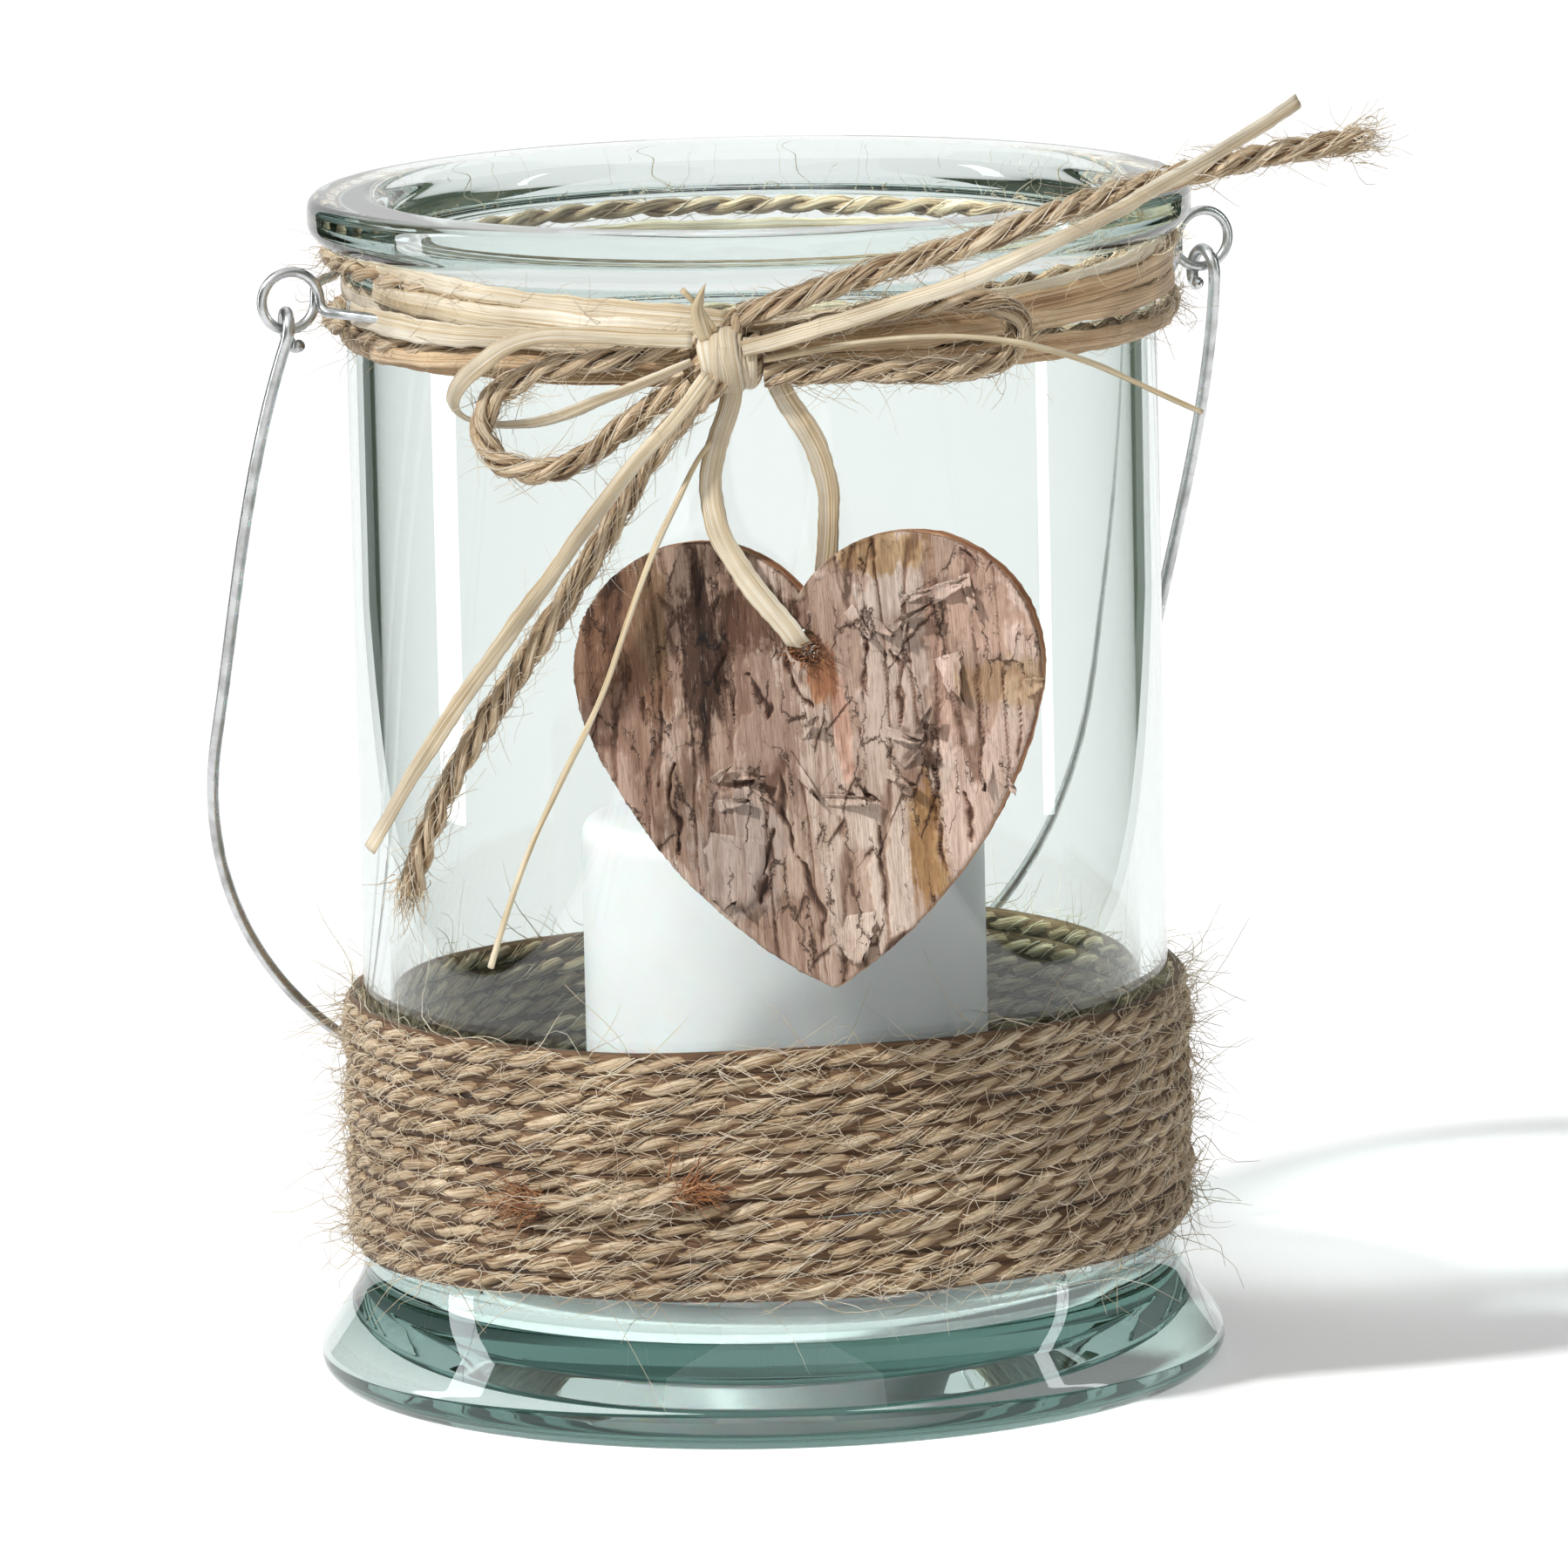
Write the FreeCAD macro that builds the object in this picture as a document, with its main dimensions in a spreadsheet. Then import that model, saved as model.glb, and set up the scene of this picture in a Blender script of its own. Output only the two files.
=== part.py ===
"""Glass jar lantern: jar, candle, wire bail, twine band, bow of twine and raffia, and a hanging bark heart.

Millimetres, +Z up. The origin is on the jar's axis at the plane that it stands on, and the bow faces -Y.
"""
import FreeCAD, Part
import math
import os

import Sketcher
from FreeCAD import Placement, Rotation, Vector

doc = FreeCAD.newDocument("jar_lantern")
sheet = doc.addObject("Spreadsheet::Sheet", "sizes")


class Size:
    """A length or angle with the expression that gives it."""

    def __init__(self, text, value):
        self.text = text
        self.value = value

    def __add__(self, other):
        other = as_size(other)
        return Size(f"({self.text} + {other.text})", self.value + other.value)

    def __sub__(self, other):
        other = as_size(other)
        return Size(f"({self.text} - {other.text})", self.value - other.value)

    def __mul__(self, factor):
        return Size(f"({self.text} * {factor})", self.value * factor)

    def __neg__(self):
        return self * -1


def as_size(number):
    return number if isinstance(number, Size) else Size(str(number), number)


def driving(name, value):
    """Adds a driving dimension to the sheet and returns it."""
    driving.row += 1
    sheet.set(f"A{driving.row}", name)
    sheet.set(f"B{driving.row}", str(value))
    sheet.setAlias(f"B{driving.row}", name)
    return Size(f"sizes.{name}", value)


driving.row = 0

# Jar
body_radius = driving("body_radius", 60.0)
wall = driving("wall", 4.0)
jar_height = driving("jar_height", 177.3)
rim_radius = driving("rim_radius", 65.4)
rim_height = driving("rim_height", 7.4)
rim_round = driving("rim_round", 3.4)
rim_slope = driving("rim_slope", 2.4)
mouth_radius = driving("mouth_radius", 53.0)
lip_slope = driving("lip_slope", 3.0)
shoulder_drop = driving("shoulder_drop", 18.0)
foot_radius = driving("foot_radius", 67.6)
foot_edge = driving("foot_edge", 5.0)
foot_slope = driving("foot_slope", 2.2)
flare_top = driving("flare_top", 16.0)
flare_round = driving("flare_round", 9.0)
floor_height = driving("floor_height", 11.5)
floor_slope = driving("floor_slope", 5.0)
punt_radius = driving("punt_radius", 50.0)
punt_depth = driving("punt_depth", 2.5)
punt_slope = driving("punt_slope", 6.0)

# Candle
candle_radius = driving("candle_radius", 30.0)
candle_height = driving("candle_height", 72.0)
candle_edge = driving("candle_edge", 2.0)
candle_shift = driving("candle_shift", 3.0)
candle_seat = driving("candle_seat", 0.05)
wick_radius = driving("wick_radius", 0.9)
wick_above = driving("wick_above", 7.0)
wick_below = driving("wick_below", 60.0)
wick_gap = driving("wick_gap", 0.05)

# Wire
neck_wire = driving("neck_wire", 1.5)
bail_wire = driving("bail_wire", 1.8)
ear_turn = driving("ear_turn", 21.0)
ear_reach = driving("ear_reach", 68.0)
ear_radius = driving("ear_radius", 4.3)
ear_height = driving("ear_height", 164.6)
ear_lead = driving("ear_lead", 2.0)
ear_bend = driving("ear_bend", 1.8)
hoop_rear = driving("hoop_rear", 164.9)
hoop_front = driving("hoop_front", 162.2)
hoop_gap = driving("hoop_gap", 0.8)
bail_leg = driving("bail_leg", 70.5)
bail_bow = driving("bail_bow", 75.2)
bail_eye = driving("bail_eye", 2.6)
bail_lead = driving("bail_lead", 2.5)
bail_rest_gap = driving("bail_rest_gap", 0.3)

# Twine and raffia
lay_gap = driving("lay_gap", 0.15)
band_twine = driving("band_twine", 2.6)
band_pitch = driving("band_pitch", 3.05)
band_turns = driving("band_turns", 12)
band_first = driving("band_first", 21.6)
neck_twine = driving("neck_twine", 3.2)
neck_twine_low = driving("neck_twine_low", 159.6)
neck_twine_high = driving("neck_twine_high", 168.1)
neck_open = driving("neck_open", 10.0)
neck_raffia_thick = driving("neck_raffia_thick", 0.5)
neck_raffia_high = driving("neck_raffia_high", 164.0)
neck_raffia_tall = driving("neck_raffia_tall", 4.6)
neck_raffia_low = driving("neck_raffia_low", 156.6)
neck_raffia_short = driving("neck_raffia_short", 2.6)
bow_twine = driving("bow_twine", 3.8)
raffia_wide = driving("raffia_wide", 2.4)
raffia_thick = driving("raffia_thick", 0.6)
straw = driving("straw", 0.9)
sling_wide = driving("sling_wide", 3.2)
sling_thick = driving("sling_thick", 0.9)
knot_half = driving("knot_half", 4.6)
knot_radius = driving("knot_radius", 4.3)
knot_end = driving("knot_end", 3.2)
knot_taper = driving("knot_taper", 2.0)
knot_x = driving("knot_x", -3.5)
knot_y = driving("knot_y", -68.0)
knot_z = driving("knot_z", 160.0)

# Heart
heart_height = driving("heart_height", 65.3)
heart_lobe = driving("heart_lobe", 19.0)
heart_lobe_out = driving("heart_lobe_out", 15.5)
heart_side = driving("heart_side", 70.0)
heart_core_thick = driving("heart_core_thick", 3.0)
heart_bark_thick = driving("heart_bark_thick", 1.4)
heart_hole = driving("heart_hole", 2.4)
heart_hole_drop = driving("heart_hole_drop", 15.5)
heart_hole_height = driving("heart_hole_height", 118.5)
heart_turn = driving("heart_turn", 15.0)
heart_tilt = driving("heart_tilt", 4.0)
heart_gap = driving("heart_gap", 1.0)
heart_slide = driving("heart_slide", 24.2)
heart_edge = driving("heart_edge", 0.5)

doc.recompute()
nodes = []


def node(item, name, placement=None):
    """Registers a finished piece under its own name."""
    item.Label = name
    if placement is not None:
        item.Placement = placement
    nodes.append(item)
    return item


# Sketch and body helpers


def new_sketch(body, role, name):
    sketch = body.newObject("Sketcher::SketchObject", name)
    plane = next(p for p in body.Origin.OriginFeatures if p.Role == role)
    sketch.AttachmentSupport = [(plane, "")]
    sketch.MapMode = "FlatFace"
    return sketch


def bind(item, prop, size):
    item.setExpression(prop, size.text)


def bound_constraint(sketch, size, *parts):
    index = sketch.addConstraint(Sketcher.Constraint(*parts, size.value))
    sketch.setExpression(f"Constraints[{index}]", size.text)


def place_point(sketch, geometry, end, x, y):
    """Fixes one end of a sketch element by its two distances from the sketch's origin."""
    bound_constraint(sketch, as_size(x), "DistanceX", -1, 1, geometry, end)
    bound_constraint(sketch, as_size(y), "DistanceY", -1, 1, geometry, end)


def closed_outline(sketch, corners):
    """Straight-sided outline through corners whose coordinates are sizes."""
    corners = [(as_size(x), as_size(y)) for x, y in corners]
    points = [Vector(x.value, y.value, 0) for x, y in corners]
    count = len(corners)
    for i in range(count):
        sketch.addGeometry(Part.LineSegment(points[i], points[(i + 1) % count]))
    for i, (x, y) in enumerate(corners):
        sketch.addConstraint(Sketcher.Constraint("Coincident", i, 2, (i + 1) % count, 1))
        place_point(sketch, i, 1, x, y)


def turned(body, name, corners, kind="PartDesign::Revolution", angle=360.0):
    """A profile in the XZ plane turned about Z, as added or removed material."""
    sketch = new_sketch(body, "XZ_Plane", name + "_profile")
    closed_outline(sketch, corners)
    feature = body.newObject(kind, name)
    feature.Profile = sketch
    feature.ReferenceAxis = (sketch, ["V_Axis"])
    feature.Angle = angle
    body.Tip = feature
    doc.recompute()
    return feature


def rounded(body, name, base, ring, radius):
    """A rounding along the circle that a corner of a turned profile leaves."""
    out, height = ring
    names = []
    for i, edge in enumerate(base.Shape.Edges, 1):
        curve = edge.Curve
        if not isinstance(curve, Part.Circle):
            continue
        if abs(curve.Radius - out.value) < 0.01 and abs(curve.Center.z - height.value) < 0.01:
            names.append(f"Edge{i}")
    item = body.newObject("PartDesign::Fillet", name)
    item.Base = (base, names)
    bind(item, "Radius", radius)
    body.Tip = item
    doc.recompute()
    return item


# Route helpers


def unit(vector):
    return Vector(vector).normalize()


def arc_from(start, tangent, end):
    """The arc that leaves start along tangent and ends at end."""
    chord = end - start
    side = chord - tangent * chord.dot(tangent)
    if side.Length < 1e-7:
        return Part.makeLine(start, end)
    side.normalize()
    radius = chord.dot(chord) / (2 * chord.dot(side))
    centre = start + side * radius
    middle = centre + unit((start - centre) + (end - centre)) * abs(radius)
    return Part.Arc(start, middle, end).toShape()


def biarc(start, start_tangent, end, end_tangent):
    """Two tangent arcs between two points with given directions."""
    chord = end - start
    both = start_tangent + end_tangent
    spread = 2 * (1 - start_tangent.dot(end_tangent))
    along = chord.dot(both)
    if spread < 1e-9:
        return [Part.makeLine(start, end)]
    reach = (math.sqrt(along * along + spread * chord.dot(chord)) - along) / spread
    middle = (start + start_tangent * reach + end - end_tangent * reach) * 0.5
    second = arc_from(end, end_tangent * -1, middle)
    second.reverse()
    return [arc_from(start, start_tangent, middle), second]


def smooth_route(stations):
    """A wire of arcs through (point, direction) stations."""
    edges = []
    for (start, leave), (end, arrive) in zip(stations, stations[1:]):
        edges += biarc(start, unit(leave), end, unit(arrive))
    return Part.Wire(edges)


def corner_route(points):
    """Straight runs joined by tangent arcs, and the least radius among them."""
    edges = []
    least = math.inf
    start = points[0]
    for before, corner, after in zip(points, points[1:], points[2:]):
        into = corner - before
        out = after - corner
        half_turn = into.getAngle(out) / 2
        cut = 0.45 * min(into.Length, out.Length)
        radius = cut / math.tan(half_turn)
        least = min(least, radius)
        first = corner - unit(into) * cut
        last = corner + unit(out) * cut
        inward = unit(unit(out) - unit(into))
        middle = corner + inward * (radius / math.cos(half_turn) - radius)
        edges.append(Part.makeLine(start, first))
        edges.append(Part.Arc(first, middle, last).toShape())
        start = last
    edges.append(Part.makeLine(start, points[-1]))
    return Part.Wire(edges), least


def section(start, tangent, width, thickness, corners, facing):
    """Closed section across a route: a flat strip for 4 corners, a faceted round for more."""
    tangent = unit(tangent)
    side = unit(tangent.cross(facing))
    front = unit(side.cross(tangent))
    if corners == 4:
        ring = [(-0.5, -0.5), (0.5, -0.5), (0.5, 0.5), (-0.5, 0.5)]
    else:
        steps = [2 * math.pi * i / corners for i in range(corners)]
        ring = [(0.5 * math.cos(a), 0.5 * math.sin(a)) for a in steps]
    points = [start + side * (width * x) + front * (thickness * y) for x, y in ring]
    return Part.makePolygon(points + points[:1])


def swept(route, width, thickness, corners, facing=Vector(0, -1, 0)):
    edge = route.OrderedEdges[0]
    tangent = edge.tangentAt(edge.FirstParameter)
    start = edge.valueAt(edge.FirstParameter)
    profile = section(start, tangent, width, thickness, corners, facing)
    solid = route.makePipeShell([profile], True, False)
    if solid.Volume < 0:
        solid.reverse()
    share = solid.Volume / (Part.Face(profile).Area * route.Length)
    return solid, share


def feature(name, shape):
    item = doc.addObject("Part::Feature", name)
    item.Shape = shape
    return node(item, name)


def cord(name, points, width, thickness, corners):
    """A free stretch of twine or raffia along its own points."""
    route, least = corner_route([Vector(*p) for p in points])
    solid, share = swept(route, width.value, thickness.value, corners)
    print(f"{name}: length {route.Length:.1f}, least radius {least:.1f}, volume share {share:.3f}")
    return feature(name, solid)


# Glass jar


def glass_jar():
    body = doc.addObject("PartDesign::Body", "glass_jar")
    rim_low = jar_height - rim_height
    blank = turned(body, "blank", [
        (0, 0), (foot_radius - foot_slope, 0), (foot_radius, foot_slope), (foot_radius, foot_edge),
        (body_radius, flare_top), (body_radius, rim_low), (rim_radius - rim_slope, rim_low),
        (rim_radius, rim_low + rim_slope), (rim_radius, jar_height), (0, jar_height),
    ])
    bore = body_radius - wall
    shoulder_low = jar_height - shoulder_drop
    above = jar_height + 5
    cavity = turned(body, "cavity", [
        (0, floor_height), (bore - floor_slope, floor_height), (bore, floor_height + floor_slope),
        (bore, shoulder_low), (mouth_radius, rim_low), (mouth_radius, jar_height - lip_slope),
        (mouth_radius + lip_slope, jar_height), (mouth_radius + lip_slope, above), (0, above),
    ], "PartDesign::Groove")
    punt = turned(body, "punt", [
        (0, -1), (punt_radius, -1), (punt_radius, 0), (punt_radius - punt_slope, punt_depth),
        (0, punt_depth),
    ], "PartDesign::Groove")
    flare = rounded(body, "flare_rounding", punt, (body_radius, flare_top), flare_round)
    rounded(body, "bead_rounding", flare, (rim_radius, jar_height), rim_round)
    print(f"jar volumes: blank {blank.Shape.Volume:.0f}, hollow {cavity.Shape.Volume:.0f}, "
          f"with punt {punt.Shape.Volume:.0f}")
    node(body, "glass_jar")


# Candle


def candle():
    body = doc.addObject("PartDesign::Body", "candle")
    bore = wick_radius + wick_gap
    foot = candle_height - wick_below - wick_gap
    edge = candle_edge
    turned(body, "wax", [
        (0, 0), (candle_radius, 0), (candle_radius, candle_height - edge),
        (candle_radius - edge, candle_height), (bore, candle_height), (bore, foot), (0, foot),
    ])
    base = floor_height + candle_seat
    node(body, "candle", Placement(Vector(candle_shift.value, 0, base.value), Rotation()))
    bind(body, "Placement.Base.x", candle_shift)
    bind(body, "Placement.Base.z", base)
    wick = doc.addObject("Part::Cylinder", "candle_wick")
    bind(wick, "Radius", wick_radius)
    bind(wick, "Height", wick_below + wick_above)
    bottom = base + candle_height - wick_below
    node(wick, "candle_wick", Placement(Vector(candle_shift.value, 0, bottom.value), Rotation()))
    bind(wick, "Placement.Base.x", candle_shift)
    bind(wick, "Placement.Base.z", bottom)


# Wire hoop with its two ears, and the bail

hoop_radius = body_radius.value + lay_gap.value * 2 + neck_raffia_thick.value + neck_wire.value / 2
pivot_height = ear_height.value - ear_radius.value
ear_out = ear_reach.value + ear_radius.value


def across(azimuth, out, along, height):
    """A point given outward from, along and above the hoop at an azimuth in degrees."""
    a = math.radians(azimuth)
    return Vector(out * math.cos(a) - along * math.sin(a), out * math.sin(a) + along * math.cos(a), height)


def heading(azimuth, out, along, up):
    return across(azimuth, out, along, up)


def ear_stations(azimuth, sense, arrive_height, leave_height):
    """The wire's way into an ear, once round it and out: sense is -1 where the wire first turns down."""
    lean = math.degrees(math.acos(hoop_radius / ear_reach.value))
    lead = ear_lead.value
    bend = ear_bend.value
    ring = ear_radius.value
    first = -lead / 4 if sense < 0 else -3 * lead / 4
    slope = lead / (2 * math.pi * ring)
    out_in = math.sin(math.radians(lean))
    along_in = math.cos(math.radians(lean))
    root = ear_reach.value - bend * out_in
    enter = across(azimuth, root, first - bend * along_in, ear_height.value - sense * bend)
    stations = [
        (across(azimuth - lean, hoop_radius, 0, arrive_height), heading(azimuth - lean, 0, 1, 0)),
        (enter, heading(azimuth, out_in, along_in, 0)),
    ]
    for quarter in range(5):
        angle = math.pi / 2 * quarter
        out = ear_out - ring * math.cos(angle)
        height = ear_height.value + sense * ring * math.sin(angle)
        along = first + lead * quarter / 4
        stations.append((across(azimuth, out, along, height),
                         heading(azimuth, math.sin(angle), slope, sense * math.cos(angle))))
    last = first + lead
    leave = across(azimuth, root, last + bend * along_in, ear_height.value + sense * bend)
    stations += [
        (leave, heading(azimuth, -out_in, along_in, 0)),
        (across(azimuth + lean, hoop_radius, 0, leave_height), heading(azimuth + lean, 0, 1, 0)),
    ]
    return stations


def hoop_arc(start, end, height):
    """Stations along the hoop between two azimuths, ends included."""
    steps = max(1, math.ceil((end - start) / 60))
    turns = [start + (end - start) * i / steps for i in range(steps + 1)]
    return [(across(a, hoop_radius, 0, height), heading(a, 0, 1, 0)) for a in turns]


def neck_hoop():
    left = 180 + ear_turn.value
    right = 360 + ear_turn.value
    rear = 90 + ear_turn.value
    half_gap = math.degrees(hoop_gap.value / 2 / hoop_radius)
    low = hoop_front.value
    high = hoop_rear.value
    left_ear = ear_stations(left, -1, high, low)
    right_ear = ear_stations(right, 1, low, high)
    lean = math.degrees(math.acos(hoop_radius / ear_reach.value))
    stations = hoop_arc(rear + half_gap, left - lean, high)[:-1] + left_ear
    stations += hoop_arc(left + lean, right - lean, low)[1:-1] + right_ear
    stations += hoop_arc(right + lean, rear + 360 - half_gap, high)[1:]
    route = smooth_route(stations)
    solid, share = swept(route, neck_wire.value, neck_wire.value, 6, Vector(0, 0, 1))
    print(f"neck_hoop: length {route.Length:.1f}, volume share {share:.3f}")
    feature("neck_hoop", solid)


def bail_rest_lean():
    """Angle of the hanging bail from straight down, where its bow meets the band behind the jar."""
    reach = bail_leg.value + bail_bow.value
    twine_face = body_radius.value + lay_gap.value + band_twine.value
    touch = twine_face + bail_rest_gap.value + bail_wire.value / 2
    return math.asin(touch / math.hypot(reach, bail_eye.value)) + math.atan2(bail_eye.value, reach)


def bail_handle():
    lean = bail_rest_lean()
    ear_line = across(ear_turn.value, 1, 0, 0)
    rear = across(ear_turn.value, 0, 1, 0)
    down = rear * math.sin(lean) - Vector(0, 0, math.cos(lean))
    normal = rear * math.cos(lean) + Vector(0, 0, math.sin(lean))
    pivot = Vector(0, 0, pivot_height)

    def point(out, off, drop):
        return pivot + ear_line * out + normal * off + down * drop

    def direction(out, off, drop):
        return ear_line * out + normal * off + down * drop

    eye = bail_eye.value
    bow = bail_bow.value
    leg = bail_leg.value
    lead = bail_lead.value
    slope = lead / (2 * math.pi)
    turns = [math.radians(a) for a in (330, 270, 180, 90, 0)]

    def eye_stations(side):
        """From the cut end of an eye round to the top of its leg."""
        stations = []
        for a in turns:
            out = ear_out + lead / 2 - lead * a / (2 * math.pi)
            stations.append((point(side * out, -eye * math.cos(a), -eye * math.sin(a)),
                             direction(side * slope, -eye * math.sin(a), eye * math.cos(a))))
        return stations

    left = eye_stations(-1)
    right = [(p, d * -1) for p, d in reversed(eye_stations(1))]
    bow_stations = []
    for a in (180, 135, 90, 45, 0):
        t = math.radians(a)
        bow_stations.append((point(bow * math.cos(t), -eye, leg + bow * math.sin(t)),
                             direction(math.sin(t), 0, -math.cos(t))))
    route = smooth_route(left + bow_stations + right)
    solid, share = swept(route, bail_wire.value, bail_wire.value, 6, Vector(0, 0, 1))
    print(f"bail_handle: length {route.Length:.1f}, rest lean {math.degrees(lean):.2f}, "
          f"volume share {share:.3f}")
    feature("bail_handle", solid)


# Twine round the jar


def least_self_gap(points, diameter, turn_points):
    """Least gap between a winding and itself, on points at least half a turn apart."""
    least = math.inf
    for i, p in enumerate(points):
        for q in points[i + turn_points // 2:i + 2 * turn_points]:
            least = min(least, p.distanceToPoint(q))
    return least - diameter


def band():
    diameter = band_twine.value
    radius = body_radius.value + lay_gap.value + diameter / 2
    pitch = band_pitch.value
    turns = int(band_turns.value)
    rise = pitch / 360
    rear = 90 + ear_turn.value
    along = math.radians(1) * radius

    def station(angle):
        height = band_first.value + rise * angle
        return across(rear + angle, radius, 0, height), heading(rear + angle, 0, along, rise)

    stations = [station(180 * i) for i in range(2 * turns + 1)]
    start, leave = stations[0]
    end, arrive = stations[-1]
    stations.insert(0, (start - unit(leave) * diameter, leave))
    stations.append((end + unit(arrive) * diameter, arrive))
    route = smooth_route(stations)
    solid, share = swept(route, diameter, diameter, 5, Vector(0, 0, 1))
    turn_points = 24
    points = route.discretize(Number=turn_points * turns + 1)
    gap = least_self_gap(points, diameter, turn_points)
    print(f"band_twine: length {route.Length:.0f}, least gap to itself {gap:.2f}, volume share {share:.3f}")
    feature("band_twine", solid)


def neck_turn(name, height):
    """One turn of twine tied round the neck, open behind the knot."""
    diameter = neck_twine
    radius = body_radius + lay_gap + diameter * 0.5
    flat = diameter * 0.5
    half_side = diameter * 0.25
    corner = diameter * (math.sqrt(3) / 4)
    open_angle = neck_open.value
    body = doc.addObject("PartDesign::Body", name)
    turned(body, name + "_turn", [
        (radius - corner, height - half_side), (radius, height - flat),
        (radius + corner, height - half_side), (radius + corner, height + half_side),
        (radius, height + flat), (radius - corner, height + half_side),
    ], angle=360 - open_angle)
    knot_azimuth = math.degrees(math.atan2(knot_y.value, knot_x.value))
    node(body, name, Placement(Vector(), Rotation(Vector(0, 0, 1), knot_azimuth + open_angle / 2)))


def neck_strip(name, height, tall):
    """One turn of flat raffia on the glass, open behind the knot."""
    inner = body_radius + lay_gap
    outer = inner + neck_raffia_thick
    low = height - tall * 0.5
    high = height + tall * 0.5
    body = doc.addObject("PartDesign::Body", name)
    turned(body, name + "_turn", [(inner, low), (outer, low), (outer, high), (inner, high)],
           angle=360 - neck_open.value)
    knot_azimuth = math.degrees(math.atan2(knot_y.value, knot_x.value))
    node(body, name, Placement(Vector(), Rotation(Vector(0, 0, 1), knot_azimuth + neck_open.value / 2)))


# Bow


def bow_knot():
    """A short barrel lying along X, where the strands are bound together."""
    body = doc.addObject("PartDesign::Body", "bow_knot")
    sketch = new_sketch(body, "XY_Plane", "knot_profile")
    waist = knot_half - knot_taper
    closed_outline(sketch, [
        (-knot_half, 0), (knot_half, 0), (knot_half, knot_end), (waist, knot_radius), (-waist, knot_radius),
        (-knot_half, knot_end),
    ])
    barrel = body.newObject("PartDesign::Revolution", "barrel")
    barrel.Profile = sketch
    barrel.ReferenceAxis = (sketch, ["H_Axis"])
    barrel.Angle = 360
    body.Tip = barrel
    node(body, "bow_knot", Placement(Vector(knot_x.value, knot_y.value, knot_z.value), Rotation()))
    bind(body, "Placement.Base.x", knot_x)
    bind(body, "Placement.Base.y", knot_y)
    bind(body, "Placement.Base.z", knot_z)


TWINE_CORDS = {
    "bow_loop_left": [
        (-8.6, -67.4, 161.9), (-17.6, -68.2, 161), (-28, -66.6, 159.4), (-36, -63.2, 156.2),
        (-39.6, -60.5, 150.8), (-37.6, -61.5, 145.2), (-31.5, -65.3, 143.4), (-24.5, -67.6, 145.8),
        (-17, -68.9, 151.8), (-9.1, -69, 157.3),
    ],
    "bow_loop_right": [
        (1.6, -69.6, 157.8), (14, -69.8, 158.4), (26, -67, 157.2), (36, -62.2, 157.7),
        (39.4, -60.2, 162.2), (36.4, -59, 166.6), (26, -62.3, 167.2), (13, -66.3, 164.9),
        (1.6, -67.6, 162.3),
    ],
    "bow_tail_left": [
        (-8.3, -71.7, 154.5), (-14.9, -73.2, 147.4), (-20, -72.8, 138), (-26.5, -71.4, 127.5),
        (-34.5, -68.5, 115.5), (-43, -64.5, 102.5), (-48.5, -61, 91.5), (-51.2, -59, 82),
    ],
    "bow_tail_right": [
        (-1.5, -69, 166.2), (8, -71, 169.4), (20, -70.8, 173.2), (34, -68, 176.4),
        (47, -63.2, 180.6), (60, -57, 183.2), (74, -50.5, 185.8), (88.6, -45, 187),
    ],
}

RAFFIA_STRIPS = {
    "raffia_loop_left": [
        (-8.5, -71.2, 163.2), (-18.3, -71.8, 163.8), (-32, -70.3, 164.8), (-40.4, -66.2, 159.2),
        (-44, -61, 153.6), (-41.4, -56.6, 150.4), (-36.4, -57.8, 149.6), (-30.6, -62.6, 150.4),
        (-24, -67, 153.4), (-16, -70.8, 156.9), (-8.5, -71.4, 160),
    ],
    "raffia_tail_left": [
        (-6.3, -72.6, 158.2), (-10.8, -75.8, 152.6), (-18.2, -76.8, 145.2), (-26.2, -76, 134.6),
        (-33.6, -73.6, 124.4), (-42, -70.2, 113), (-49.8, -66.4, 101.4), (-56.8, -63, 89.2),
    ],
    "raffia_tail_right": [
        (-1.4, -72.8, 162), (9, -73.4, 164.6), (19, -73.4, 167.6), (30, -72.4, 170.6),
        (40, -69.8, 174.6), (50, -65.6, 178.4), (60, -60.6, 183.2), (70.5, -55, 188),
        (79.5, -50, 193.2),
    ],
}

RAFFIA_STRAWS = {
    "raffia_sprig": [
        (1.6, -71.4, 160.2), (12, -69.6, 161.8), (22, -67.4, 162.5), (31, -65.2, 162.2),
        (39, -63.4, 160.8), (48.6, -59, 157.4), (57, -56, 152.8), (64.7, -53, 148.8),
    ],
    "raffia_stub": [(-5.2, -70, 164.4), (-7, -71, 167.6), (-9.8, -71.6, 170.6)],
    "sling_tail": [
        (-8, -70.2, 146.4), (-10.8, -73, 141), (-14.8, -75, 133.5), (-18.7, -76, 123.4),
        (-22.5, -75.6, 112.4), (-29, -73, 99.8), (-35.7, -70, 85.4), (-39.6, -67, 72.3),
    ],
}

SLING = [
    (-2.8, -67.9, 154.7), (-5.2, -69.1, 148.5), (-6.8, -70.4, 141), (-4.6, -71.2, 133.2),
    (0.6, -71.8, 125.8), (4.4, -71.8, 121.2), (5.9, -71.5, 118.5), (8.1, -63, 118.5),
    (9.2, -62.6, 125), (10.6, -63.4, 134), (10.4, -65.4, 143.4), (7.4, -67, 150),
    (3.4, -67.9, 154.7),
]

BAND_END = [(-36, -53.3, 35.2), (-28.5, -57.7, 35.7), (-20, -61.2, 36.9), (-10.8, -63.4, 38.4)]


def strands():
    for name, points in TWINE_CORDS.items():
        cord(name, points, bow_twine, bow_twine, 6)
    for name, points in RAFFIA_STRIPS.items():
        cord(name, points, raffia_wide, raffia_thick, 4)
    for name, points in RAFFIA_STRAWS.items():
        cord(name, points, straw, straw, 6)
    cord("pendant_sling", SLING, sling_wide, sling_thick, 4)
    cord("band_twine_end", BAND_END, band_twine, band_twine, 6)


# Heart


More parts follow.
